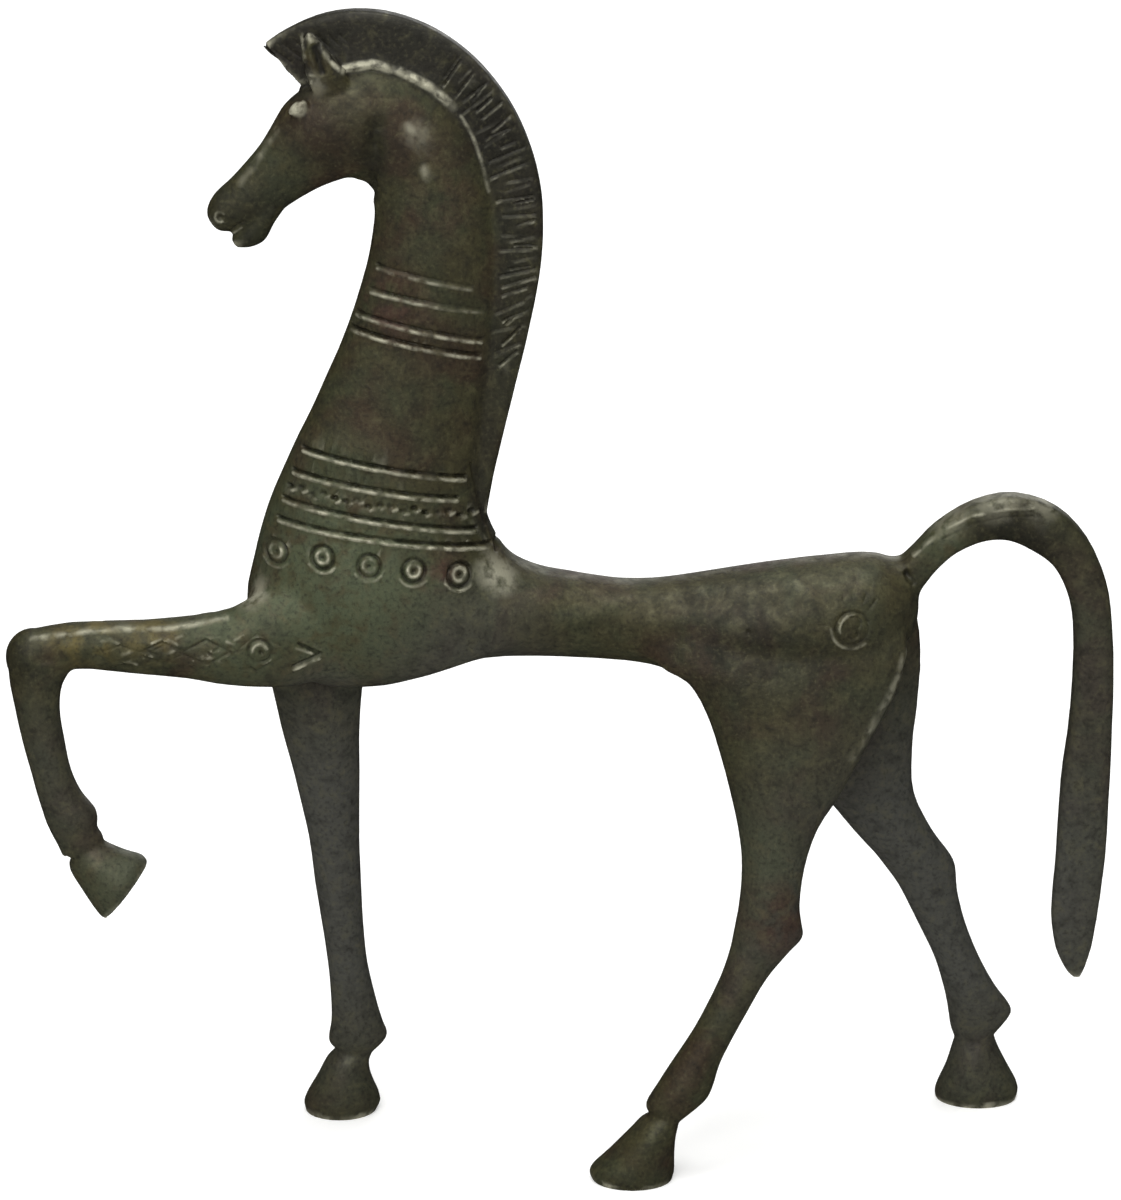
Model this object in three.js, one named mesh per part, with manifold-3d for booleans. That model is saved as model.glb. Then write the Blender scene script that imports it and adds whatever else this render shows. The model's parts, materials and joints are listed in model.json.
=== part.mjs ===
// A cast bronze horse in the Greek Geometric manner: a slender figure pacing with its left foreleg
// raised, a deep arched neck with a thin mane, a looped tail, and ornament cut with a graver and ring
// punches. It is one casting, so it is one solid. Millimetres, +Z up; the horse faces -X and its left
// side faces -Y. The origin lies on the ground, under the middle of the figure's bounding box.
import * as THREE from "three";
import { mergeVertices } from "three/addons/utils/BufferGeometryUtils.js";
import Module from "manifold-3d";

const wasm = await Module();
wasm.setup();

// Driving dimensions
const HEIGHT = 180; // from the ground to the top of the mane
const HOOF_WIDTH = 10;
const HOOF_RIM = 0.5; // how far the sole lies inside the hoof's rounded rim
const MANE_THICKNESS = 4.2;
const EAR_SPREAD = 2.8; // from the middle of the head to the middle of an ear
const GROOVE_DEPTH = 0.55; // how deep the graver and the punches went in
const GROOVE_WIDTH = 0.8;
const STROKE_WIDTH = 0.7; // a stroke of hair on the mane
const RING_RADIUS = 1.6; // a ring punch, to the middle of its line
const RUMP_RING_RADIUS = 2.6;
const LEG_RING_RADIUS = 1.3;
const DOT_RADIUS = 0.55;
const THROUGH = 80; // a cutter's reach across the figure

// Each form's section: how many corners it has, and its squareness, from 2 for an oval upwards.
const LIMB = { sides: 12, square: 2.2 };
const BODY = { sides: 14, square: 2.3 };
const BAR = { sides: 10, square: 3.2 };
const SLAB = { sides: 8, square: 7 };
const LEAF = { sides: 8, square: 2 };
const MANE_SECTIONS = 20;
const PUNCH_SIDES = { dot: 6, ring: 10 };
const LUMP_FACES = [8, 6]; // round a lump, and from its top to its foot

// The figure is drawn from the middle of its barrel and then moved to the middle of its footprint.
const DRAWING_ORIGIN = new THREE.Vector3(0.9, -0.75, 0);

// The trunk, from the poll down the neck, round the chest and back to the croup. Each section has its
// end on the crest or the back, its end on the throat, chest or belly, and its thickness.
const TRUNK = [
  { top: [-34.0, 170.4], under: [-31.6, 156.2], thick: 8.6 },
  { top: [-27.6, 172.4], under: [-29.0, 154.9], thick: 9.2 },
  { top: [-19.6, 169.6], under: [-27.5, 152.6], thick: 9.4 },
  { top: [-13.2, 163.8], under: [-27.4, 149.8], thick: 9.4 },
  { top: [-9.8, 155.5], under: [-27.9, 146.2], thick: 9.6 },
  { top: [-8.8, 144.0], under: [-28.9, 141.3], thick: 10.0 },
  { top: [-9.2, 133.0], under: [-31.8, 132.4], thick: 10.8 },
  { top: [-10.4, 122.5], under: [-36.2, 122.4], thick: 12.0 },
  { top: [-11.4, 113.0], under: [-40.7, 113.0], thick: 13.8 },
  { top: [-11.2, 105.0], under: [-44.4, 104.4], thick: 16.4 },
  { top: [-9.8, 100.2], under: [-46.4, 97.0], thick: 19.4 },
  { top: [-7.2, 96.6], under: [-47.0, 90.0], thick: 21.6 },
  { top: [-3.0, 94.6], under: [-45.2, 82.4], thick: 22.0 },
  { top: [2.2, 93.4], under: [-39.0, 77.4], thick: 21.0 },
  { top: [6.8, 92.7], under: [-28.4, 76.9], thick: 18.6 },
  { top: [10.8, 92.5], under: [-14.0, 80.5], thick: 15.6 },
  { top: [16.0, 92.8], under: [1.0, 81.3], thick: 13.2 },
  { top: [23.5, 93.9], under: [13.6, 79.8], thick: 14.0 },
  { top: [31.0, 94.9], under: [20.4, 74.8], thick: 17.0 },
  { top: [40.5, 96.0], under: [31.0, 69.0], thick: 19.4 },
  { top: [48.5, 96.5], under: [46.0, 76.0], thick: 17.4 },
  { top: [53.2, 94.4], under: [53.4, 87.4], thick: 10.0 },
];

// The other limbs are drawn as stations down their middle: x, z, width and thickness. A leg's width
// is its measure from front to back.
const HEAD = [
  [-46.2, 145.5, 3.6, 3.8],
  [-47.1, 147.2, 9.2, 5.2],
  [-46.0, 151.0, 9.4, 5.8],
  [-42.9, 154.2, 9.2, 6.4],
  [-39.7, 157.0, 10.8, 7.8],
  [-36.4, 160.2, 13.3, 9.4],
  [-33.0, 162.7, 16.2, 10.4],
  [-29.0, 163.6, 15.6, 10.4],
  [-26.2, 163.6, 12.0, 9.0],
];
const LEFT_HIND_LEG = [
  [38.0, 88.0, 28.0, 9.0],
  [36.4, 78.0, 31.0, 10.4],
  [35.7, 69.8, 25.0, 10.4],
  [34.4, 62.0, 17.9, 10.0],
  [33.4, 55.5, 12.0, 9.0],
  [32.5, 49.0, 9.3, 8.0],
  [32.3, 44.6, 9.2, 7.4],
  [32.4, 40.6, 10.8, 7.0],
  [30.2, 36.4, 8.3, 6.6],
  [27.1, 29.8, 5.8, 5.9],
  [24.6, 24.9, 5.7, 5.8],
  [21.9, 19.9, 6.2, 6.0],
  [19.4, 14.9, 8.4, 6.4],
  [17.2, 12.0, 6.4, 5.6],
  [16.3, 10.2, 4.6, 5.0],
];
const RIGHT_HIND_LEG = [
  [40.6, 88.0, 28.0, 9.0],
  [43.6, 76.5, 25.0, 10.4],
  [46.3, 66.5, 19.0, 10.2],
  [48.7, 57.5, 13.8, 9.6],
  [51.8, 50.2, 10.3, 8.6],
  [56.2, 44.0, 9.1, 7.6],
  [59.1, 38.2, 8.6, 7.0],
  [61.1, 32.0, 7.0, 6.4],
  [63.4, 26.0, 6.3, 6.0],
  [65.4, 21.0, 7.4, 6.2],
  [67.5, 16.0, 9.8, 6.6],
  [67.3, 12.6, 7.6, 5.8],
  [67.1, 10.8, 6.2, 5.4],
];
const RIGHT_FORELEG = [
  [-35.0, 86.0, 16.0, 8.6],
  [-37.5, 73.5, 14.6, 9.6],
  [-36.7, 62.0, 10.5, 8.4],
  [-35.8, 52.0, 8.6, 7.6],
  [-35.1, 42.0, 7.3, 7.0],
  [-34.5, 33.0, 6.3, 6.4],
  [-33.5, 24.0, 6.2, 6.2],
  [-32.9, 19.0, 7.2, 6.4],
  [-32.5, 15.0, 8.6, 6.6],
  [-32.8, 12.2, 8.6, 6.2],
  [-33.6, 10.0, 6.0, 5.2],
];
const LEFT_FOREARM = [
  [-32.0, 87.0, 14.0, 7.0],
  [-42.0, 85.6, 15.4, 9.4],
  [-49.0, 84.6, 12.0, 9.2],
  [-56.0, 84.8, 9.3, 8.2],
  [-64.0, 85.2, 8.0, 7.4],
  [-73.0, 85.4, 7.4, 7.0],
  [-79.2, 84.4, 8.0, 6.6],
];
const LEFT_FORE_SHANK = [
  [-79.2, 84.0, 7.2, 6.6],
  [-79.0, 79.0, 7.3, 6.8],
  [-78.6, 74.0, 6.7, 6.4],
  [-77.5, 68.0, 5.8, 6.0],
  [-76.2, 62.6, 6.2, 6.0],
  [-74.4, 58.6, 7.7, 6.2],
  [-73.3, 55.4, 6.8, 5.6],
  [-71.8, 53.3, 5.8, 5.2],
];
const TAIL = [
  [47.0, 90.5, 6.5, 5.6],
  [55.5, 96.2, 5.2, 5.8],
  [59.8, 100.2, 5.7, 6.0],
  [64.5, 102.3, 6.8, 6.0],
  [69.0, 102.8, 7.5, 6.0],
  [73.5, 101.1, 7.6, 6.0],
  [77.4, 97.4, 6.7, 6.0],
  [80.2, 91.9, 6.0, 5.8],
  [81.4, 85.9, 6.0, 5.6],
  [81.9, 72.0, 6.5, 5.2],
  [81.5, 60.0, 7.4, 4.8],
  [81.2, 48.0, 7.6, 4.4],
  [80.6, 38.0, 7.2, 3.8],
  [80.7, 32.6, 5.7, 3.2],
  [81.2, 28.6, 2.8, 2.2],
  [81.6, 27.2, 1.0, 1.0],
];
const EAR = [
  [-32.6, 169.0, 2.4, 2.6],
  [-34.2, 171.8, 3.8, 2.8],
  [-35.6, 174.4, 3.0, 2.2],
  [-36.6, 176.8, 0.8, 0.8],
];

// How far each limb stands out to the right of the figure's middle, at its root and at its end.
const ACROSS = {
  leftHind: [-5, -15.5],
  rightHind: [5, 14],
  rightFore: [5.5, 9.6],
  leftForearm: [-5.5, -10.8],
  leftForeShank: [-10.8, -11.4],
};

// A hoof: the ends of its waist under the fetlock, the ends of its sole, and its place across.
const HOOVES = [
  { waist: [[14.0, 10.6], [19.0, 9.4]], sole: [[4.4, 0], [17.9, 0]], y: ACROSS.leftHind[1] },
  { waist: [[64.0, 11.0], [70.2, 11.0]], sole: [[61.0, 0], [74.5, 0]], y: ACROSS.rightHind[1] },
  { waist: [[-36.6, 10.4], [-31.2, 10.0]], sole: [[-41.6, 0], [-29.2, 0]], y: ACROSS.rightFore[1] },
  {
    waist: [[-75.2, 51.9], [-69.4, 54.0]],
    sole: [[-70.2, 42.3], [-63.0, 50.8]],
    y: ACROSS.leftForeShank[1],
  },
];

// Rounded lumps of wax, each with its middle and its half sizes.
const KNEE = { at: [-79.1, -10.8, 84.1], radii: [4.3, 3.4, 4.3] };
const NOSE = { at: [-49.7, 0, 149.8], radii: [2.3, 2.8, 2.8] };
const EYE = { at: [-37.9, -3.9, 166.2], radii: [1.8, 1.4, 1.1] };

// The mane's outer edge is a part of an ellipse over the head and then runs down to the withers.
const CROWN = { centre: [-29, 149], reach: 26.6, from: 123 };
const CROWN_DROP = [[-2.4, 137.5], [-8.0, 119.0], [-11.2, 102.5]];
const FORELOCK = 0.12; // the share of the edge over which the mane thickens from its tip
const FORELOCK_LEAN = 0.9; // how far its front edge leans back from square
const MANE_HEIGHT = { tip: 7.8, crown: 11.5, withers: 5 }; // to its root inside the neck

// The grooves round the neck: where each crosses the group's middle, how they fall to the back, and
// how far they run.
const BANDS = [
  { heights: [140.9, 137.3, 133.3, 131.1], middle: -20.5, slope: 0.2, from: -34, to: -11.6 },
  { heights: [112.4, 109.3, 104.7, 101.9], middle: -27, slope: 0.15, from: -50, to: -12.4 },
];
const DOT_ROW = { from: [-39.4, 108.6], to: [-14.4, 104.9], count: 12 };
const RING_ROW = { from: [-42.0, 99.0], to: [-15.0, 97.0], count: 5 };
const HAIR = { from: 0.4, to: 0.93, count: 19, length: 5, slant: 0.5, clear: 0.9 };
const RUMP_RING = [44.1, 88.6];

// The ornament of the raised foreleg: a ring in a lozenge, a chevron behind it and a row of crosses.
const LEG_RING = [-45.2, 85.2];
const LEG_LOZENGE = [[-49.8, 85.2], [-45.2, 88.2], [-41.6, 85.4], [-45.2, 82.3], [-49.8, 85.2]];
const LEG_CHEVRON = [[-41.4, 87.2], [-36.4, 85.4], [-40.2, 82.4]];
const LEG_CROSSES = { from: [-52.6, 85.2], pitch: 4.6, count: 2, arm: 1.7 };
const MOUTH = [[-50.8, 145.2], [-46.8, 148.5]];
const NOSTRIL = [-50.0, 149.4];

// A closed skin as a solid, whichever way its faces were wound.
function solid(geometry) {
  geometry.deleteAttribute("normal");
  geometry.deleteAttribute("uv");
  const merged = mergeVertices(geometry, 1e-4);
  const vertProperties = merged.attributes.position.array;
  const wound = (triVerts) =>
    new wasm.Manifold(new wasm.Mesh({ numProp: 3, vertProperties, triVerts }));
  const made = wound(new Uint32Array(merged.index.array));
  if (made.volume() > 0) return made;
  return wound(new Uint32Array(merged.index.array).reverse());
}

// A smooth value through the same places as a limb's stations.
const through = (numbers) => {
  const curve = new THREE.CatmullRomCurve3(
    numbers.map((n, i) => new THREE.Vector3(i, n, 0)),
  );
  return (t) => curve.getPoint(t).y;
};

// A curve in the X-Z plane, held in the middle of the figure.
const line = (places) =>
  new THREE.CatmullRomCurve3(places.map(([x, z]) => new THREE.Vector3(x, 0, z)));

// A closed skin over sections, each with its two ends in the X-Z plane, its place across the figure
// and its thickness. flat is 1 for faces rather than corners at the section's ends, and inset draws
// the skin in.
function loft(sections, { sides, square }, { inset = 0, flat = 0 } = {}) {
  const squared = (n) => Math.sign(n) * Math.abs(n) ** (2 / square);
  const full = squared(Math.cos((Math.PI * flat) / sides));
  const points = [];
  for (const { a, b, y, thick } of sections) {
    const middle = a.clone().add(b).multiplyScalar(0.5);
    middle.y = y;
    const reach = Math.max(a.distanceTo(b) / 2 - inset, 0.1);
    const along = a.clone().sub(b).normalize().multiplyScalar(reach);
    const across = new THREE.Vector3(0, Math.max(thick / 2 - inset, 0.1), 0);
    for (let i = 0; i < sides; i++) {
      const turn = (2 * Math.PI * (i + flat / 2)) / sides;
      points.push(
        middle
          .clone()
          .addScaledVector(along, squared(Math.cos(turn)) / full)
          .addScaledVector(across, squared(Math.sin(turn)) / full),
      );
    }
  }
  const last = (sections.length - 1) * sides;
  const faces = [];
  for (let i = 0; i < sides; i++) {
    const next = (i + 1) % sides;
    for (let r = 0; r < last; r += sides)
      faces.push(
        [r + i, r + sides + next, r + next],
        [r + i, r + sides + i, r + sides + next],
      );
    if (i > 1) faces.push([0, i - 1, i], [last, last + i, last + i - 1]);
  }
  const geometry = new THREE.BufferGeometry().setFromPoints(points);
  geometry.setIndex(faces.flat());
  return solid(geometry);
}

// A limb through its stations, from one place across the figure to another.
function limb(stations, across, inset, { form = LIMB, steps = 1 } = {}) {
  const middle = line(stations);
  const width = through(stations.map((s) => s[2]));
  const thick = through(stations.map((s) => s[3]));
  const count = (stations.length - 1) * steps;
  const sections = Array.from({ length: count + 1 }, (_, i) => {
    const t = i / count;
    const way = middle.getTangent(t);
    const normal = new THREE.Vector3(-way.z, 0, way.x);
    const half = width(t) / 2;
    return {
      a: middle.getPoint(t).addScaledVector(normal, half),
      b: middle.getPoint(t).addScaledVector(normal, -half),
      y: THREE.MathUtils.lerp(across[0], across[1], t),
      thick: thick(t),
    };
  });
  return loft(sections, form, { inset });
}

function trunk(inset) {
  const top = line(TRUNK.map((s) => s.top));
  const under = line(TRUNK.map((s) => s.under));
  const thick = through(TRUNK.map((s) => s.thick));
  const count = TRUNK.length - 1;
  const sections = Array.from({ length: count + 1 }, (_, i) => ({
    a: under.getPoint(i / count),
    b: top.getPoint(i / count),
    y: 0,
    thick: thick(i / count),
  }));
  return loft(sections, BODY, { inset });
}

// A hoof: narrow at its waist, a bell down to the rim, and a flat sole a little inside the rim.
function hoof({ waist, sole, y }, inset) {
  const [front, back] = [0, 1].map((i) =>
    [waist[i], sole[i]].map(([x, z]) => new THREE.Vector3(x, 0, z)),
  );
  const shape = [
    { down: 0, wide: 0.5, rim: 0 },
    { down: 0.2, wide: 0.72, rim: 0 },
    { down: 0.6, wide: 0.9, rim: 0 },
    { down: 0.87, wide: 1, rim: 0 },
    { down: 1, wide: 0.9, rim: HOOF_RIM },
  ];
  const sections = shape.map(({ down, wide, rim }) => {
    const a = front[0].clone().lerp(front[1], down);
    const b = back[0].clone().lerp(back[1], down);
    const inwards = b.clone().sub(a).setLength(rim);
    a.add(inwards);
    b.sub(inwards);
    return { a, b, y, thick: HOOF_WIDTH * wide };
  });
  return loft(sections, LIMB, { inset });
}

// The mane's outer edge, from the forelock's tip to the withers.
const maneEdge = new THREE.CurvePath();
maneEdge.add(
  new THREE.EllipseCurve(
    ...CROWN.centre,
    CROWN.reach,
    HEIGHT - CROWN.centre[1],
    THREE.MathUtils.degToRad(CROWN.from),
    0,
    true,
  ),
);
maneEdge.add(
  new THREE.CubicBezierCurve(
    new THREE.Vector2(CROWN.centre[0] + CROWN.reach, CROWN.centre[1]),
    ...CROWN_DROP.map(([x, z]) => new THREE.Vector2(x, z)),
  ),
);

// A place on the mane's edge with the way inwards from it, in the X-Z plane.
function onMane(t) {
  const p = maneEdge.getPointAt(t);
  const way = maneEdge.getTangentAt(t);
  return {
    edge: new THREE.Vector3(p.x, 0, p.y),
    inwards: new THREE.Vector3(way.y, 0, -way.x),
  };
}

function mane(inset) {
  const sections = Array.from({ length: MANE_SECTIONS + 1 }, (_, i) => {
    const t = i / MANE_SECTIONS;
    const { edge, inwards } = onMane(t);
    const { tip, crown, withers } = MANE_HEIGHT;
    const full = THREE.MathUtils.lerp(crown, withers, t);
    const swell = THREE.MathUtils.smoothstep(t, 0, FORELOCK);
    const height = THREE.MathUtils.lerp(tip, full, swell);
    const thick = MANE_THICKNESS * THREE.MathUtils.lerp(0.4, 1, swell);
    const root = edge.clone().addScaledVector(inwards, height);
    root.x += FORELOCK_LEAN * (1 - swell);
    return { a: edge, b: root, y: 0, thick };
  });
  return loft(sections, SLAB, { inset, flat: 1 });
}

function lump({ at, radii }, inset) {
  const geometry = new THREE.SphereGeometry(1, ...LUMP_FACES);
  geometry.scale(...radii.map((r) => r - inset));
  geometry.translate(...at);
  return solid(geometry);
}

// The whole casting without its ornament, or with inset the same form a little smaller.
function casting(inset) {
  const paired = [
    limb(EAR, [-EAR_SPREAD, -EAR_SPREAD], inset / 4, { form: LEAF }),
    lump(EYE, inset),
  ];
  return wasm.Manifold.union([
    trunk(inset),
    limb(HEAD, [0, 0], inset, { steps: 2 }),
    lump(NOSE, inset),
    limb(LEFT_HIND_LEG, ACROSS.leftHind, inset),
    limb(RIGHT_HIND_LEG, ACROSS.rightHind, inset),
    limb(RIGHT_FORELEG, ACROSS.rightFore, inset),
    limb(LEFT_FOREARM, ACROSS.leftForearm, inset),
    limb(LEFT_FORE_SHANK, ACROSS.leftForeShank, inset),
    lump(KNEE, inset),
    limb(TAIL, [0, 0], inset, { form: BAR }),
    ...HOOVES.map((h) => hoof(h, inset)),
    mane(inset),
    ...paired.flatMap((left) => [left, left.mirror([0, 1, 0])]),
  ]);
}

// The cutters of the ornament reach across the figure, or with side -1 only to its left.
const placed = (geometry, [x, z], side) =>
  solid(geometry.translate(x, side * (THROUGH / 2), z));

function stroke(from, to, width, side = 0) {
  const [dx, dz] = [to[0] - from[0], to[1] - from[1]];
  const geometry = new THREE.BoxGeometry(Math.hypot(dx, dz), THROUGH, width);
  geometry.rotateY(-Math.atan2(dz, dx));
  return placed(geometry, [from[0] + dx / 2, from[1] + dz / 2], side);
}

const strokes = (places, width, side) =>
  places.slice(1).map((place, i) => stroke(places[i], place, width, side));

function pit(place, radius, side = 0) {
  return placed(
    new THREE.CylinderGeometry(radius, radius, THROUGH, PUNCH_SIDES.dot),
    place,
    side,
  );
}

function ring(place, radius, side = 0) {
  const [near, far] = [radius - GROOVE_WIDTH / 2, radius + GROOVE_WIDTH / 2];
  const outline = [
    [near, -THROUGH / 2],
    [far, -THROUGH / 2],
    [far, THROUGH / 2],
    [near, THROUGH / 2],
    [near, -THROUGH / 2],
  ].map(([r, y]) => new THREE.Vector2(r, y));
  return placed(new THREE.LatheGeometry(outline, PUNCH_SIDES.ring), place, side);
}

const ringAndDot = (place, radius, side = 0) => [
  ring(place, radius, side),
  pit(place, DOT_RADIUS, side),
];

// Places in an even row from one place to another.
const row = ({ from, to, count }) =>
  Array.from({ length: count }, (_, i) =>
    [0, 1].map((k) => THREE.MathUtils.lerp(from[k], to[k], i / (count - 1))),
  );

const neckBands = BANDS.flatMap(({ heights, middle, slope, from, to }) =>
  heights.map((height) => {
    const [start, end] = [from, to].map((x) => [x, height - slope * (x - middle)]);
    return stroke(start, end, GROOVE_WIDTH);
  }),
);

const hair = Array.from({ length: HAIR.count }, (_, i) => {
  const t = THREE.MathUtils.lerp(HAIR.from, HAIR.to, i / (HAIR.count - 1));
  const { edge, inwards } = onMane(t);
  const outer = edge.clone().addScaledVector(inwards, HAIR.clear);
  const length = HAIR.length * (1 - t / 2);
  const inner = outer.clone().addScaledVector(inwards, length);
  inner.z += HAIR.slant * (i % 3 - 1);
  return stroke([outer.x, outer.z], [inner.x, inner.z], STROKE_WIDTH);
});

const legCrosses = Array.from({ length: LEG_CROSSES.count }, (_, i) => {
  const { from, pitch, arm } = LEG_CROSSES;
  const [x, z] = [from[0] - pitch * i, from[1]];
  return [
    stroke([x - arm, z - arm], [x + arm, z + arm], STROKE_WIDTH, -1),
    stroke([x - arm, z + arm], [x + arm, z - arm], STROKE_WIDTH, -1),
  ];
}).flat();

const cutters = wasm.Manifold.union([
  ...neckBands,
  ...hair,
  ...row(DOT_ROW).map((place) => pit(place, DOT_RADIUS, -1)),
  ...row(RING_ROW).flatMap((place) => ringAndDot(place, RING_RADIUS, -1)),
  ...ringAndDot(RUMP_RING, RUMP_RING_RADIUS, -1),
  ...ringAndDot(LEG_RING, LEG_RING_RADIUS, -1),
  ...strokes(LEG_LOZENGE, STROKE_WIDTH, -1),
  ...strokes(LEG_CHEVRON, GROOVE_WIDTH, -1),
  ...legCrosses,
  ...strokes(MOUTH, STROKE_WIDTH),
  pit(NOSTRIL, DOT_RADIUS),
]);

// The ornament goes one groove's depth into the casting, whatever the skin's slope.
const whole = casting(0);
const horse = whole.subtract(cutters.subtract(casting(GROOVE_DEPTH)));
const mesh = horse.getMesh();
const geometry = new THREE.BufferGeometry();
geometry.setAttribute(
  "position",
  new THREE.BufferAttribute(new Float32Array(mesh.vertProperties), 3),
);
geometry.setIndex(new THREE.BufferAttribute(new Uint32Array(mesh.triVerts), 1));
geometry.computeVertexNormals();

const bronze = new THREE.MeshStandardMaterial({
  color: 0x46432f,
  roughness: 0.5,
  metalness: 0.8,
});
const figure = new THREE.Mesh(geometry, bronze);
figure.name = "horse";
figure.position.copy(DRAWING_ORIGIN).negate();

const group = new THREE.Group();
group.add(figure);
export default group;
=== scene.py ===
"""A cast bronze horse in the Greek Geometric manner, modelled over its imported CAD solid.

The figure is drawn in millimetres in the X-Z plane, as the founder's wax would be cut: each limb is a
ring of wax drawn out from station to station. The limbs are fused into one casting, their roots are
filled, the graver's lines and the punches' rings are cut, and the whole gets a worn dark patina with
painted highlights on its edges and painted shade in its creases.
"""

import json
import logging
import math
from dataclasses import dataclass, field, replace
from enum import Enum
from typing import Iterable, Sequence

import bmesh
import bpy
import numpy as np
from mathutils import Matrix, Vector, noise

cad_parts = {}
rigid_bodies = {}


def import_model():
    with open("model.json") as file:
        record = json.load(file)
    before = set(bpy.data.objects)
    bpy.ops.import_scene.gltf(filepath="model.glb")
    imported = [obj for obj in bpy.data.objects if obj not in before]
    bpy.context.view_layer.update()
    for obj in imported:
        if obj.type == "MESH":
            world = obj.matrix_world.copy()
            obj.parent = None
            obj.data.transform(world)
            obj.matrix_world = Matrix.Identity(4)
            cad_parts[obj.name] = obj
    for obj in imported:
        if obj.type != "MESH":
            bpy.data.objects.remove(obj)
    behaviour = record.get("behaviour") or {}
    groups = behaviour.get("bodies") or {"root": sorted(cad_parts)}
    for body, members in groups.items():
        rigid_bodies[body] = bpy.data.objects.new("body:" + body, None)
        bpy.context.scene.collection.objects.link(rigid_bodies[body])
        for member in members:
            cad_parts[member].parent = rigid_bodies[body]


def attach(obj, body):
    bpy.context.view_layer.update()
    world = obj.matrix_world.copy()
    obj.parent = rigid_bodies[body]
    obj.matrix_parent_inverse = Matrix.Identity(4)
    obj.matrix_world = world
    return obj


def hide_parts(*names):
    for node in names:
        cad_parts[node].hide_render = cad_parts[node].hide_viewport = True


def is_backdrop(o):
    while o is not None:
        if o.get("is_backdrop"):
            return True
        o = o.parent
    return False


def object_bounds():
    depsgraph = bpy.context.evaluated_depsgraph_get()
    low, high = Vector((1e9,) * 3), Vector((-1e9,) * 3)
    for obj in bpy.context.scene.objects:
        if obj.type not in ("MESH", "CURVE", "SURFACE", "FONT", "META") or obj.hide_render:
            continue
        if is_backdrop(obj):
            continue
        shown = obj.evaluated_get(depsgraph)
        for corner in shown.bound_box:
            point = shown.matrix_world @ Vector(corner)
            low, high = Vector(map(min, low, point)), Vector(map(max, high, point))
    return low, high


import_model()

CAD_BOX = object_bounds()
LOG = logging.getLogger("bronze_horse")

MM = 0.001
HAND_WAVER = 1.6  # the stretch over which the graver's push changes, in mm
CUT_WAVER = 0.7  # how far a cut's depth strays with that push, as a share
BURR_WAVER = 1.8  # how far a burr's height strays, held within the range below
BURR_RANGE = (0.2, 1.7)
FAINTEST_CUT = 0.02  # where a cut is shallower than this, in mm, a burr that meets it wins
CHORD_TURN = 15  # the turn of each short chord of a punch's ring, in degrees
ROOT_TAPER = (0.95, 0.86, 0.72)  # the shares to which the last rings of a limb's root are drawn in
WEIGHT_LEVELS = 200  # the steps in which a vertex weight is stored
DRAWING_ORIGIN = (0.9, -0.75)  # the drawing's zero, seen from the middle of the figure's footprint, in mm
Place = tuple[float, float]
Station = tuple[float, float, float, float]
Socket = bpy.types.NodeSocket


def place(x: float, y: float, z: float) -> Vector:
    """Turns a place on the drawing, in mm, into metres in the part's frame."""
    return Vector(((x - DRAWING_ORIGIN[0]) * MM, (y - DRAWING_ORIGIN[1]) * MM, z * MM))


def linear(hex_colour: str, alpha: float = 1.0) -> tuple[float, float, float, float]:
    """Turns an sRGB hex colour into the linear colour that a node takes.

    Args:
        hex_colour: The colour as "#rrggbb".
        alpha: The colour's opacity.

    Returns:
        Red, green, blue and alpha, linear.
    """
    values = [int(hex_colour[i : i + 2], 16) / 255 for i in (1, 3, 5)]
    turned = [v / 12.92 if v <= 0.04045 else ((v + 0.055) / 1.055) ** 2.4 for v in values]
    return (turned[0], turned[1], turned[2], alpha)


def deselect() -> None:
    """Leaves edit mode and clears the selection, so that an operator meets only its own object."""
    if bpy.context.object and bpy.context.object.mode != "OBJECT":
        bpy.ops.object.mode_set(mode="OBJECT")
    bpy.ops.object.select_all(action="DESELECT")


def choose(*objects: bpy.types.Object) -> None:
    """Selects these objects alone and makes the first one active.

    Args:
        *objects: The objects, the active one first.
    """
    deselect()
    for obj in objects:
        obj.select_set(True)
    bpy.context.view_layer.objects.active = objects[0]


def apply_modifier(obj: bpy.types.Object, kind: str, **settings: object) -> None:
    """Puts one modifier on an object, sets it and applies it.

    Args:
        obj: The object that is changed.
        kind: Blender's name for the modifier's type.
        **settings: The modifier's own settings.
    """
    choose(obj)
    modifier = obj.modifiers.new(kind.title(), kind)
    for key, value in settings.items():
        setattr(modifier, key, value)
    bpy.ops.object.modifier_apply(modifier=modifier.name)


def join(name: str, objects: Sequence[bpy.types.Object]) -> bpy.types.Object:
    """Joins objects into the first of them.

    Args:
        name: The joined object's name.
        objects: The objects that are joined.

    Returns:
        The joined object.
    """
    choose(*objects)
    if len(objects) > 1:
        bpy.ops.object.join()
    objects[0].name = objects[0].data.name = name
    return objects[0]


def ease(share: float | np.ndarray) -> float | np.ndarray:
    """Eases a share from 0 to 1 in and out."""
    return share * share * (3 - 2 * share)


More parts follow.
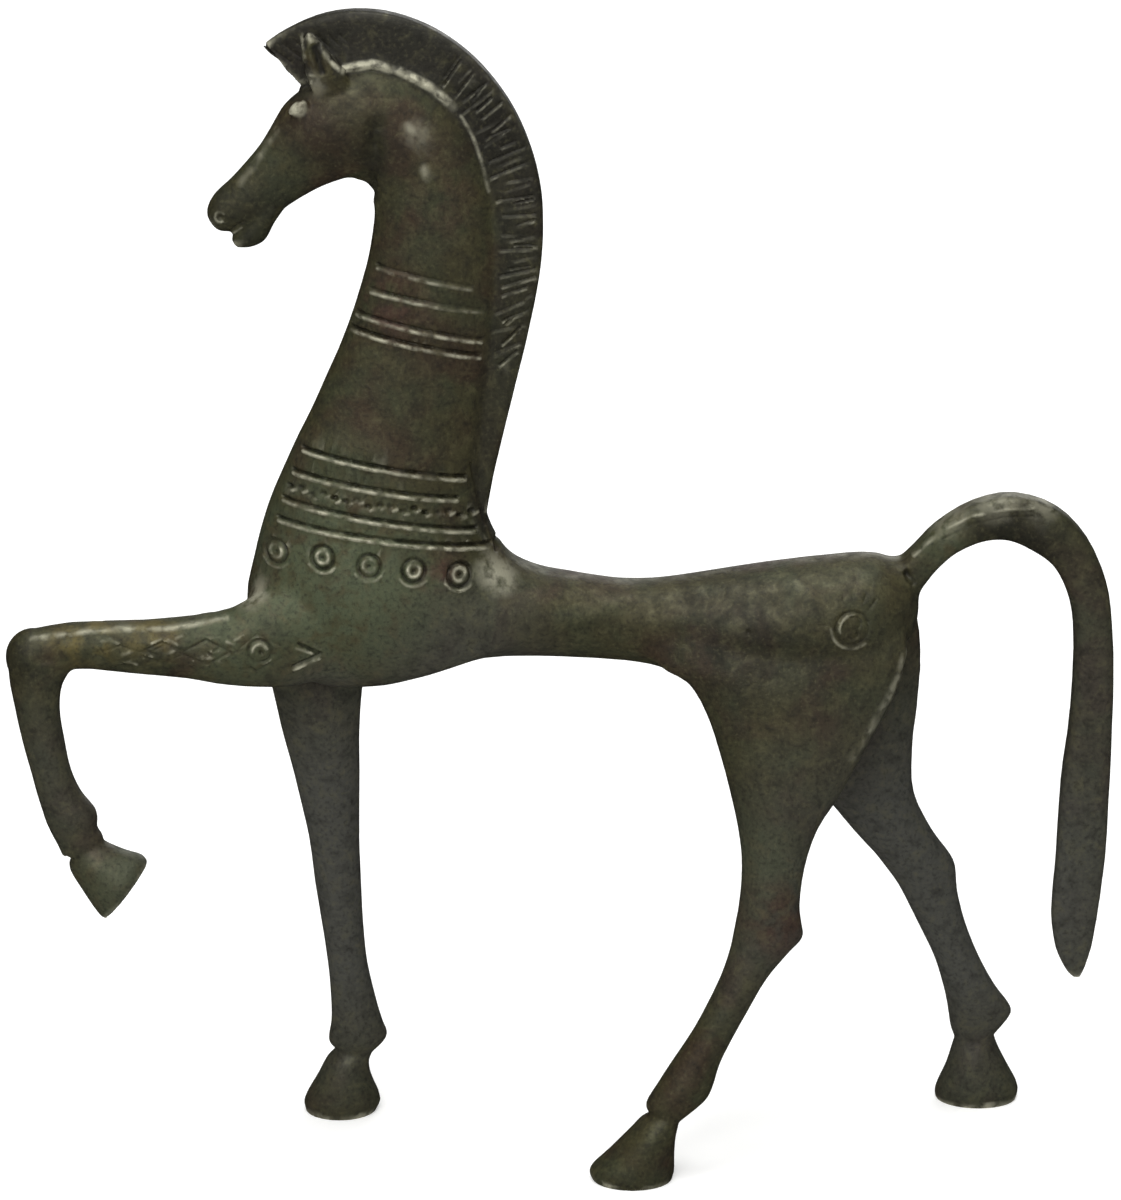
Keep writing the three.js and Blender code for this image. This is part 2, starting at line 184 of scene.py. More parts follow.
class Spline:
    """A smooth line through given places, in any number of measures at once."""

    def __init__(self, points: Sequence[Sequence[float]]) -> None:
        """Takes the places in their order."""
        self.points = [np.array(p, float) for p in points]

    def at(self, share: float) -> np.ndarray:
        """Finds the place at a share of the way, each stretch counting the same.

        Args:
            share: From 0 at the first place to 1 at the last.

        Returns:
            The place, on a centripetal Catmull-Rom line.
        """
        last = len(self.points) - 1
        index = min(int(share * last), last - 1)
        t = share * last - index
        p1, p2 = self.points[index], self.points[index + 1]
        p0 = self.points[index - 1] if index else 2 * p1 - p2
        p3 = self.points[index + 2] if index + 2 <= last else 2 * p2 - p1
        d0, d1, d2 = (max(np.linalg.norm(b - a), 1e-9) ** 0.5 for a, b in ((p0, p1), (p1, p2), (p2, p3)))
        m1 = ((p1 - p0) / d0 - (p2 - p0) / (d0 + d1) + (p2 - p1) / d1) * d1
        m2 = ((p2 - p1) / d1 - (p3 - p1) / (d1 + d2) + (p3 - p2) / d2) * d1
        return p1 + m1 * t + (3 * (p2 - p1) - 2 * m1 - m2) * t**2 + (2 * (p1 - p2) + m1 + m2) * t**3

    def way(self, share: float) -> np.ndarray:
        """Finds the unit direction of the line at a share of the way."""
        step = self.at(min(share + 1e-4, 1)) - self.at(max(share - 1e-4, 0))
        return step / np.linalg.norm(step)


class Section(Enum):
    """The shape of a limb's section: how far its corners are cut back, 1 for a full round."""

    ROUND = 1.0
    SQUARED = 0.62
    SLAB = 0.3


@dataclass
class Ring:
    """One section of a limb, across the X-Z plane."""

    centre: Vector
    turn: float
    half_width: float
    half_thick: float

    @classmethod
    def between(cls, a: Place, b: Place, y: float, thick: float) -> "Ring":
        """Makes the ring that spans two places of the drawing.

        Args:
            a: One end of the ring in the X-Z plane, in mm.
            b: The other end.
            y: The ring's place across the figure, in mm.
            thick: Its thickness across the figure, in mm.

        Returns:
            The ring, in metres.
        """
        dx, dz = b[0] - a[0], b[1] - a[1]
        middle = place((a[0] + b[0]) / 2, y, (a[1] + b[1]) / 2)
        return cls(middle, math.atan2(dz, dx), math.hypot(dx, dz) / 2 * MM, thick / 2 * MM)


def draw_out(name: str, rings: Sequence[Ring], section: Section, sides: int = 24) -> bpy.types.Object:
    """Draws a section out from ring to ring into one closed skin.

    Args:
        name: The object's name.
        rings: The sections in their order.
        section: The shape of the section.
        sides: How many corners a round section has.

    Returns:
        The new mesh object, in the part's frame.
    """
    deselect()
    if section is Section.ROUND:
        bpy.ops.mesh.primitive_circle_add(vertices=sides, radius=1, fill_type="NGON", enter_editmode=True)
    else:
        bpy.ops.mesh.primitive_plane_add(size=2, enter_editmode=True)
        bpy.ops.mesh.bevel(offset=section.value, segments=5, affect="VERTICES")
    last = Ring(Vector(), 0.0, 1.0, 1.0)
    for index, ring in enumerate(rings):
        if index:
            bpy.ops.mesh.extrude_region_move(TRANSFORM_OT_translate={"value": ring.centre - last.centre})
        else:
            bpy.ops.transform.translate(value=ring.centre)
        grow = (ring.half_width / last.half_width, ring.half_thick / last.half_thick, 1)
        bpy.ops.transform.rotate(value=-last.turn, orient_axis="Y", center_override=ring.centre)
        bpy.ops.transform.resize(value=grow, center_override=ring.centre)
        bpy.ops.transform.rotate(value=ring.turn, orient_axis="Y", center_override=ring.centre)
        last = ring
    bpy.ops.mesh.select_all(action="SELECT")
    bpy.ops.mesh.normals_make_consistent(inside=False)
    bpy.ops.object.mode_set(mode="OBJECT")
    made = bpy.context.object
    made.name = made.data.name = name
    return made


def root_rings(rings: Sequence[Ring], count: int) -> list[Ring]:
    """Takes a limb's first rings, with the last drawn in so that they end inside the whole limb.

    Args:
        rings: The whole limb's rings.
        count: How many of them are taken.

    Returns:
        Copies of the rings that are taken.
    """
    kept = [replace(ring) for ring in rings[:count]]
    for ring, share in zip(kept[-len(ROOT_TAPER) :], ROOT_TAPER):
        ring.half_width, ring.half_thick = ring.half_width * share, ring.half_thick * share
    return kept


def blob(
    name: str, centre: Place, y: float, radii: tuple[float, float, float], lean: float = 0.0
) -> bpy.types.Object:
    """Adds a rounded boss of wax.

    Args:
        name: The object's name.
        centre: Its place in the X-Z plane, in mm.
        y: Its place across the figure, in mm.
        radii: Its half sizes along X, Y and Z before it leans, in mm.
        lean: How far its +X end is turned up, in degrees.

    Returns:
        The new mesh object.
    """
    deselect()
    bpy.ops.mesh.primitive_uv_sphere_add(segments=24, ring_count=12, radius=1, enter_editmode=True)
    bpy.ops.transform.resize(value=[r * MM for r in radii], center_override=(0, 0, 0))
    bpy.ops.transform.rotate(value=math.radians(lean), orient_axis="Y", center_override=(0, 0, 0))
    bpy.ops.transform.translate(value=place(centre[0], y, centre[1]))
    bpy.ops.object.mode_set(mode="OBJECT")
    made = bpy.context.object
    made.name = made.data.name = name
    return made


@dataclass(frozen=True)
class Limb:
    """A limb drawn out along stations down its middle: x, z, width from front to back, thickness."""

    name: str
    stations: Sequence[Station]
    across: tuple[float, float] = (0.0, 0.0)
    section: Section = Section.ROUND
    steps: int = 3
    root: int = 0

    def build(self, rows: int = 0) -> bpy.types.Object:
        """Builds the limb.

        Args:
            rows: How many of its stations are used, or 0 for all.

        Returns:
            The limb's mesh object.
        """
        middle = Spline([s[:2] for s in self.stations])
        width = Spline([(i, s[2]) for i, s in enumerate(self.stations)])
        thick = Spline([(i, s[3]) for i, s in enumerate(self.stations)])
        count = (len(self.stations) - 1) * self.steps
        rings = []
        for i in range(count + 1):
            share = i / count
            (x, z), (dx, dz), half = middle.at(share), middle.way(share), width.at(share)[1] / 2
            y = self.across[0] + (self.across[1] - self.across[0]) * share
            ends = [(x - dz * side * half, z + dx * side * half) for side in (-1, 1)]
            rings.append(Ring.between(*ends, y, thick.at(share)[1]))
        kept = root_rings(rings, (rows - 1) * self.steps + 1) if rows else rings
        return draw_out(self.name, kept, self.section)


@dataclass(frozen=True)
class Contour:
    """A limb given by its two outlines and its thickness, row by row: front x, z, back x, z, thickness."""

    name: str
    rows: Sequence[tuple[float, float, float, float, float]]
    across: tuple[float, float] = (0.0, 0.0)
    root: int = 0
    sides: int = 24
    steps: int = 3

    def build(self, rows: int = 0) -> bpy.types.Object:
        """Builds the limb.

        Args:
            rows: How many of its rows are used, or 0 for all.

        Returns:
            The limb's mesh object.
        """
        line = Spline(self.rows)
        count = (len(self.rows) - 1) * self.steps
        first, last = ((r[1] + r[3]) / 2 for r in (self.rows[0], self.rows[-1]))
        rings = []
        for i in range(count + 1):
            xa, za, xb, zb, thick = line.at(i / count)
            down = ((za + zb) / 2 - first) / (last - first) if self.across[0] != self.across[1] else 0
            y = self.across[0] + (self.across[1] - self.across[0]) * min(max(down, 0), 1)
            rings.append(Ring.between((xa, za), (xb, zb), y, thick))
        kept = root_rings(rings, (rows - 1) * self.steps + 1) if rows else rings
        return draw_out(self.name, kept, Section.ROUND, self.sides)


@dataclass
class Trunk:
    """The body, from the poll down the neck, round the chest and back to the croup."""

    contour: Contour = Contour("trunk", (
        (-31.6, 156.2, -34.0, 170.4, 8.6), (-29.0, 154.9, -27.6, 172.4, 9.2),
        (-27.7, 152.1, -19.6, 169.6, 9.4), (-27.4, 149.8, -13.2, 163.8, 9.4),
        (-27.9, 146.2, -9.8, 155.5, 9.6), (-28.9, 141.3, -8.8, 144.0, 10.0),
        (-31.8, 132.4, -9.2, 133.0, 10.8), (-36.2, 122.4, -10.4, 122.5, 12.0),
        (-40.7, 113.0, -11.4, 113.0, 13.8), (-44.4, 104.4, -11.2, 105.0, 16.4),
        (-46.4, 97.0, -9.6, 100.3, 19.4), (-47.7, 89.9, -7.0, 96.8, 21.6), (-45.2, 82.2, -2.6, 94.7, 22.0),
        (-38.9, 77.0, 2.4, 93.8, 21.0), (-28.6, 76.3, 7.0, 93.1, 18.6), (-14.0, 80.6, 11.0, 92.7, 15.6),
        (0.7, 80.8, 16.0, 93.0, 13.2), (13.5, 79.6, 23.6, 94.2, 14.0), (20.4, 77.1, 31.2, 95.4, 17.0),
        (30.0, 74.5, 40.6, 96.5, 19.4), (46.0, 76.0, 48.6, 96.9, 17.4), (53.4, 87.4, 53.2, 94.4, 10.0),
    ), sides=32)

    def build(self) -> bpy.types.Object:
        """Builds the trunk and returns its mesh object."""
        return self.contour.build()


@dataclass
class Head:
    """The wedge of the head with its lips, its eyes and its pricked ears."""

    skull: Contour = Contour("skull", (
        (-52.1, 149.3, -50.5, 147.2, 3.4), (-52.1, 150.4, -49.3, 147.0, 4.8),
        (-51.6, 151.7, -47.0, 147.2, 5.4), (-50.6, 153.1, -44.5, 147.6, 5.7),
        (-48.5, 155.0, -42.1, 149.4, 5.9), (-46.0, 157.7, -40.0, 150.9, 6.2),
        (-44.0, 160.1, -37.5, 152.5, 7.0), (-42.2, 163.0, -34.5, 154.0, 8.2),
        (-40.4, 166.0, -31.0, 155.2, 9.5), (-37.8, 168.2, -28.2, 156.0, 10.3),
        (-33.0, 170.2, -25.5, 157.5, 10.2), (-28.0, 170.5, -22.5, 160.0, 8.4),
    ))
    jaw: Contour = Contour("lower_jaw", (
        (-48.6, 145.8, -47.6, 144.6, 3.0), (-48.2, 147.0, -45.6, 144.7, 4.4),
        (-46.8, 148.4, -43.6, 145.7, 4.8), (-45.4, 149.8, -42.2, 148.2, 5.0),
        (-43.6, 151.6, -40.8, 150.2, 5.0),
    ))
    ear: Contour = Contour("ear", (
        (-35.4, 164.6, -30.4, 165.4, 1.6), (-36.2, 168.6, -30.4, 169.2, 2.4),
        (-37.0, 171.2, -31.2, 171.0, 3.0), (-37.4, 173.2, -32.5, 172.9, 2.8),
        (-37.4, 174.9, -34.1, 174.9, 2.4), (-36.9, 176.5, -35.6, 176.6, 1.6),
        (-36.6, 177.2, -36.2, 177.2, 0.9),
    ))
    ear_spread: tuple[float, float] = (2.4, 3.5)
    eye: Place = (-38.1, 166.2)
    eye_radii: tuple[float, float, float] = (1.7, 1.15, 0.92)
    eye_out: float = 3.75
    eye_lean: float = 35.0

    def build_skull(self) -> bpy.types.Object:
        """Builds the head without what stands up on it."""
        return self.skull.build()

    def build_features(self) -> list[bpy.types.Object]:
        """Builds the skull again with jaw, eyes and ears, which stay sharp when the creases are filled.

        Returns:
            The mesh objects of the skull, the jaw, the eyes and the ears.
        """
        made = [self.build_skull(), self.jaw.build()]
        for side in (-1, 1):
            made.append(blob("eye", self.eye, side * self.eye_out, self.eye_radii, self.eye_lean))
            made.append(replace(self.ear, across=tuple(side * y for y in self.ear_spread)).build())
        return made


@dataclass
class Mane:
    """The thin standing mane, from the forelock over the poll and down to the withers."""

    # Sizes in mm; the start is a turn in degrees, and the forelock and the stops are shares of the edge.
    centre: Place = (-29.0, 149.0)
    reach: float = 26.6
    height: float = 180.0
    start: float = 123.7
    fullness: float = 1.94
    drop: Sequence[Place] = ((-2.4, 149.0), (-1.8, 137.3), (-8.8, 118.6), (-11.2, 102.5))
    thickness: float = 4.2
    crown: float = 11.5
    withers: float = 5.0
    hair_height: tuple[float, ...] = (9.0, 8.6, 7.6, 5.4, 2.8)
    hair_shade: tuple[float, ...] = (0.9, 0.95, 0.85, 0.45, 0.6)
    tip: float = 7.8
    hair_stops: tuple[float, ...] = (0, 0.2, 0.45, 0.8, 1)
    hair_border: float = 1.2
    forelock: float = 0.12
    forelock_lean: float = 0.9
    forelock_thin: float = 0.4
    arc_steps: int = 60
    drop_steps: int = 40
    even_places: int = 90
    sections: int = 72
    edge: Spline = field(init=False)

    def __post_init__(self) -> None:
        """Lays the outer edge at an even pace: a part of a drawn-in ellipse, then a falling curve."""
        rise, power, line = self.height - self.centre[1], 2 / self.fullness, []
        for i in range(self.arc_steps + 1):
            turn = math.radians(self.start * (1 - i / self.arc_steps))
            c, s = math.cos(turn), math.sin(turn)
            out = math.copysign(abs(c) ** power, c)
            line.append((self.centre[0] + self.reach * out, self.centre[1] + rise * abs(s) ** power))
        p = [np.array(q) for q in self.drop]
        for i in range(1, self.drop_steps + 1):
            t, s = i / self.drop_steps, 1 - i / self.drop_steps
            line.append(tuple(s**3 * p[0] + 3 * s * s * t * p[1] + 3 * s * t * t * p[2] + t**3 * p[3]))
        line = np.array(line)
        gone = np.concatenate([[0], np.cumsum(np.linalg.norm(np.diff(line, axis=0), axis=1))])
        even = np.linspace(0, gone[-1], self.even_places)
        self.edge = Spline(list(zip(np.interp(even, gone, line[:, 0]), np.interp(even, gone, line[:, 1]))))

    def on(self, share: float, inwards: float = 0.0, along: float = 0.0) -> Place:
        """Finds a place by the mane's edge.

        Args:
            share: The share of the edge from the forelock's tip.
            inwards: How far in from the edge, in mm.
            along: How far on along the edge, in mm.

        Returns:
            The place in the X-Z plane, in mm.
        """
        (x, z), (dx, dz) = self.edge.at(share), self.edge.way(share)
        return (x + dz * inwards + dx * along, z - dx * inwards + dz * along)

    def cover(self, points: np.ndarray) -> np.ndarray:
        """Finds where the mane's hair lies.

        Args:
            points: Rows of x, y and z in mm on the drawing.

        Returns:
            From 0 off the mane to its shade of dark on it, with a soft border at its root.
        """
        nearest, cover = np.full(len(points), np.inf), np.zeros(len(points))
        for i in range(self.sections + 1):
            share = i / self.sections
            away = np.linalg.norm(points[:, (0, 2)] - self.on(share), axis=1)
            hair = np.interp(share, self.hair_stops, self.hair_height)
            shade = np.interp(share, self.hair_stops, self.hair_shade)
            closer = away < nearest
            cover = np.where(closer, shade * np.clip((hair - away) / self.hair_border + 0.5, 0, 1), cover)
            nearest = np.where(closer, away, nearest)
        return cover * (np.abs(points[:, 1]) < self.thickness)

    def build(self) -> bpy.types.Object:
        """Builds the mane, thinner and drawn to a point at the forelock.

        Returns:
            The mane's mesh object.
        """
        rings = []
        for i in range(self.sections + 1):
            share = i / self.sections
            swell = ease(min(share / self.forelock, 1))
            full = self.crown + (self.withers - self.crown) * share
            x, z = self.on(share, self.tip + (full - self.tip) * swell)
            root = (x + self.forelock_lean * (1 - swell), z)
            thick = self.thickness * (self.forelock_thin + (1 - self.forelock_thin) * swell)
            rings.append(Ring.between(root, self.on(share), 0, thick))
        return draw_out("mane", rings, Section.SLAB)


@dataclass
class Legs:
    """The four legs: the left foreleg is raised, the other three stand on flat soles."""

    limbs: Sequence[Contour | Limb] = (
        Contour("left_hind_leg", (
            (13.5, 87.0, 52.0, 89.0, 5.0), (14.7, 81.3, 52.8, 84.5, 8.0), (19.4, 78.5, 51.9, 79.0, 9.8),
            (22.2, 73.9, 49.8, 74.0, 10.4), (24.25, 68.0, 46.6, 68.0, 10.6), (25.9, 62.0, 43.4, 62.0, 10.4),
            (27.3, 56.0, 39.6, 56.0, 9.8), (27.9, 50.0, 37.6, 50.0, 8.8), (27.5, 44.0, 36.9, 44.0, 8.0),
            (27.0, 41.0, 37.3, 40.8, 7.3), (26.7, 39.4, 37.5, 39.1, 7.0), (26.2, 37.0, 35.6, 37.0, 6.9),
            (24.9, 33.0, 32.3, 33.0, 6.5), (22.6, 28.0, 29.4, 28.0, 6.2), (20.2, 23.5, 27.0, 23.5, 6.0),
            (17.3, 19.0, 24.8, 19.0, 6.1), (15.0, 15.3, 23.7, 15.2, 6.5), (13.3, 12.4, 22.6, 13.2, 6.0),
            (14.4, 10.6, 18.9, 10.0, 5.0),
        ), (-5, -15.5), root=6),
        Contour("right_hind_leg", (
            (28.0, 89.0, 54.0, 89.0, 5.0), (28.2, 84.5, 55.4, 84.5, 8.2), (29.0, 79.0, 56.0, 79.0, 9.8),
            (32.6, 70.0, 55.8, 70.0, 10.2), (36.0, 60.6, 55.3, 62.0, 10.6), (42.0, 54.0, 55.9, 54.6, 9.4),
            (46.6, 48.2, 59.0, 48.2, 8.6), (49.8, 44.4, 62.2, 43.6, 8.0), (51.4, 42.2, 62.9, 41.6, 7.7),
            (53.9, 38.6, 63.3, 37.8, 7.2), (57.1, 32.0, 64.8, 32.0, 6.6), (60.1, 25.6, 67.3, 25.6, 6.2),
            (61.9, 20.0, 70.3, 20.0, 6.4), (62.6, 16.8, 72.8, 16.4, 6.8), (62.9, 15.0, 73.0, 15.1, 6.6),
            (63.4, 12.4, 71.1, 12.2, 6.0), (64.1, 10.6, 70.3, 11.1, 5.2),
        ), (5, 14), root=5),
        Contour("right_foreleg", (
            (-46.0, 86.0, -27.0, 86.0, 9.0), (-47.0, 78.6, -28.3, 78.6, 9.6),
            (-45.1, 75.0, -30.2, 75.0, 9.5), (-44.3, 71.5, -30.8, 71.5, 9.4),
            (-42.8, 64.0, -31.2, 64.0, 8.6), (-41.0, 56.0, -31.3, 56.0, 7.9),
            (-39.5, 48.0, -31.5, 48.0, 7.4), (-38.7, 40.0, -31.4, 40.0, 7.0),
            (-37.8, 33.0, -31.2, 33.0, 6.6), (-37.0, 26.0, -30.6, 26.0, 6.3),
            (-36.6, 20.0, -29.5, 20.0, 6.4), (-36.7, 15.4, -28.3, 15.4, 6.8),
            (-37.1, 13.2, -27.6, 13.2, 6.7), (-37.1, 12.0, -28.3, 11.9, 6.2),
            (-35.9, 10.6, -29.9, 10.3, 5.0),
        ), (5.5, 9.6)),
        Limb("left_forearm", (
            (-32.0, 87.0, 14.0, 7.0), (-42.0, 85.6, 15.4, 9.4), (-49.0, 84.5, 12.3, 9.2),
            (-56.0, 84.8, 9.7, 8.2), (-64.0, 85.1, 8.15, 7.4), (-73.0, 85.6, 7.2, 7.0),
            (-79.2, 84.4, 8.0, 6.6),
        ), (-5.5, -10.8), root=4),
        Contour("left_fore_shank", (
            (-83.0, 84.0, -72.0, 84.0, 6.6), (-82.8, 80.0, -74.8, 80.0, 6.8),
            (-82.2, 76.0, -75.4, 76.0, 6.6), (-81.3, 71.0, -74.9, 71.0, 6.3),
            (-80.2, 66.0, -74.1, 66.0, 6.1), (-79.4, 62.4, -72.6, 62.4, 6.1),
            (-78.7, 59.8, -70.6, 59.8, 6.3), (-78.2, 58.0, -70.3, 58.4, 6.3),
            (-77.4, 56.0, -70.4, 56.8, 6.0), (-76.6, 54.2, -69.6, 55.4, 5.6),
            (-75.9, 52.3, -69.8, 54.4, 5.2),
        ), (-10.8, -11.4)),
    )
    hooves: Sequence[Contour] = (
        Contour("left_hind_hoof", (
            (14.5, 11.0, 18.6, 10.0, 5.0), (12.5, 9.9, 18.5, 9.2, 7.2), (10.9, 8.0, 18.1, 7.2, 8.6),
            (7.4, 4.2, 17.9, 4.0, 9.4), (4.6, 1.3, 17.9, 1.2, 9.9), (5.0, 0.2, 17.6, 0.1, 9.5),
            (5.2, -0.4, 17.4, -0.4, 9.3),
        ), (-15.5, -15.5)),
        Contour("right_hind_hoof", (
            (64.1, 10.6, 70.3, 11.4, 5.2), (63.6, 8.8, 71.0, 9.4, 7.0), (62.7, 5.6, 72.7, 6.0, 8.8),
            (61.1, 1.4, 74.7, 1.8, 10.0), (61.2, 0.2, 74.4, 0.2, 9.7), (61.4, -0.4, 74.2, -0.4, 9.5),
        ), (14, 14)),
        Contour("right_fore_hoof", (
            (-36.0, 10.6, -30.1, 10.1, 5.2), (-37.5, 9.0, -30.7, 8.4, 7.2), (-39.0, 6.0, -30.4, 5.8, 8.8),
            (-41.3, 1.6, -28.9, 1.6, 10.0), (-41.1, 0.2, -29.5, 0.2, 9.7), (-41.0, -0.4, -29.8, -0.4, 9.5),
        ), (9.6, 9.6)),
        Contour("left_fore_hoof", (
            (-75.0, 51.6, -69.9, 54.9, 5.0), (-74.8, 50.0, -68.5, 53.9, 7.0),
            (-72.9, 46.6, -66.0, 52.8, 8.8), (-70.5, 42.8, -63.6, 52.0, 10.0),
            (-69.8, 42.2, -62.9, 51.0, 9.2),
        ), (-11.4, -11.4)),
    )
    knee: Place = (-79.1, 84.1)
    knee_y: float = -10.8
    knee_radii: tuple[float, float, float] = (4.2, 3.4, 4.5)

    def build_roots(self) -> list[bpy.types.Object]:
        """Builds the upper ends of the legs, whose creases are filled."""
        return [limb.build(limb.root) for limb in self.limbs if limb.root]

    def build(self) -> list[bpy.types.Object]:
        """Builds the whole legs, the raised knee and the hooves."""
        knee = blob("left_knee", self.knee, self.knee_y, self.knee_radii)
        return [limb.build() for limb in (*self.limbs, *self.hooves)] + [knee]


@dataclass
class Tail:
    """The tail: a squarish bar that arches up from the croup and flattens as it hangs."""

    stations: Sequence[Station] = (
        (49.7, 90.0, 7.2, 5.6), (53.5, 94.1, 5.4, 5.8), (55.7, 96.6, 4.8, 5.9), (58.8, 99.7, 5.2, 6.0),
        (63.7, 102.3, 6.2, 6.0), (68.6, 102.9, 7.1, 6.0), (73.5, 101.1, 7.5, 6.0), (77.5, 97.5, 6.6, 6.0),
        (80.3, 91.9, 6.1, 5.8), (81.5, 85.9, 5.85, 5.6), (81.9, 72.0, 6.4, 5.2), (81.4, 60.0, 7.5, 4.8),
        (81.2, 48.0, 7.6, 4.4), (80.6, 38.0, 7.2, 3.8), (80.7, 32.6, 5.7, 3.2), (81.2, 28.6, 2.8, 2.2),
        (81.6, 27.2, 1.0, 1.0),
    )
    root: int = 3
    swell: Place = (51.5, 88.6)
    swell_radii: tuple[float, float, float] = (3.4, 5.0, 6.5)

    def build_root(self) -> list[bpy.types.Object]:
        """Builds the dock that the tail grows from, whose creases are filled."""
        first = Limb("dock", self.stations, section=Section.SQUARED).build(self.root)
        return [first, blob("dock_swell", self.swell, 0, self.swell_radii)]

    def build(self) -> bpy.types.Object:
        """Builds the whole tail and returns its mesh object."""
        return Limb("tail", self.stations, section=Section.SQUARED).build()


@dataclass(frozen=True)
class Mark:
    """A cut of the graver or punch, or with a depth below 0 a raised line, drawn in the X-Z plane."""

    path: tuple[Place, ...]
    width: float
    depth: float
    side: int = 0
    reach: float = math.inf

    def profile(self, points: np.ndarray) -> np.ndarray:
        """Works out how deep the mark is at each point.

        Args:
            points: The points as rows of x, y and z, in mm on the drawing.

        Returns:
            The depth at each point, in mm.
        """
        flat = points[:, (0, 2)]
        nearest = np.full(len(points), np.inf)
        path = np.array(self.path, float)
        for a, b in zip(path[:-1], path[1:]):
            span = b - a
            share = np.clip((flat - a) @ span / max(span @ span, 1e-9), 0, 1)
            nearest = np.minimum(nearest, np.linalg.norm(flat - a - share[:, None] * span, axis=1))
        cut = ease(np.clip(1 - nearest / (self.width / 2), 0, 1))
        if self.side:
            cut = np.where(points[:, 1] * self.side > 0, cut, 0)
        return np.where(np.abs(points[:, 1]) < self.reach, cut, 0) * self.depth


def ring_path(centre: Place, radius: float, start: float = 0, end: float = 360) -> tuple[Place, ...]:
    """Draws a punch's ring, or a part of it, as a path of short chords.

    Args:
        centre: The ring's centre, in mm.
        radius: Its radius, in mm.
        start: The turn at which it starts, in degrees from +X towards +Z.
        end: The turn at which it ends.

    Returns:
        The places that the chords join.
    """
    count = max(int(abs(end - start) / CHORD_TURN), 2)
    turns = [math.radians(start + (end - start) * i / count) for i in range(count + 1)]
    return tuple((centre[0] + radius * math.cos(t), centre[1] + radius * math.sin(t)) for t in turns)


def row(start: Place, end: Place, count: int) -> list[Place]:
    """Sets places at an even pace from one place to another."""
    first, last = np.array(start), np.array(end)
    return [tuple(first + (last - first) * i / (count - 1)) for i in range(count)]


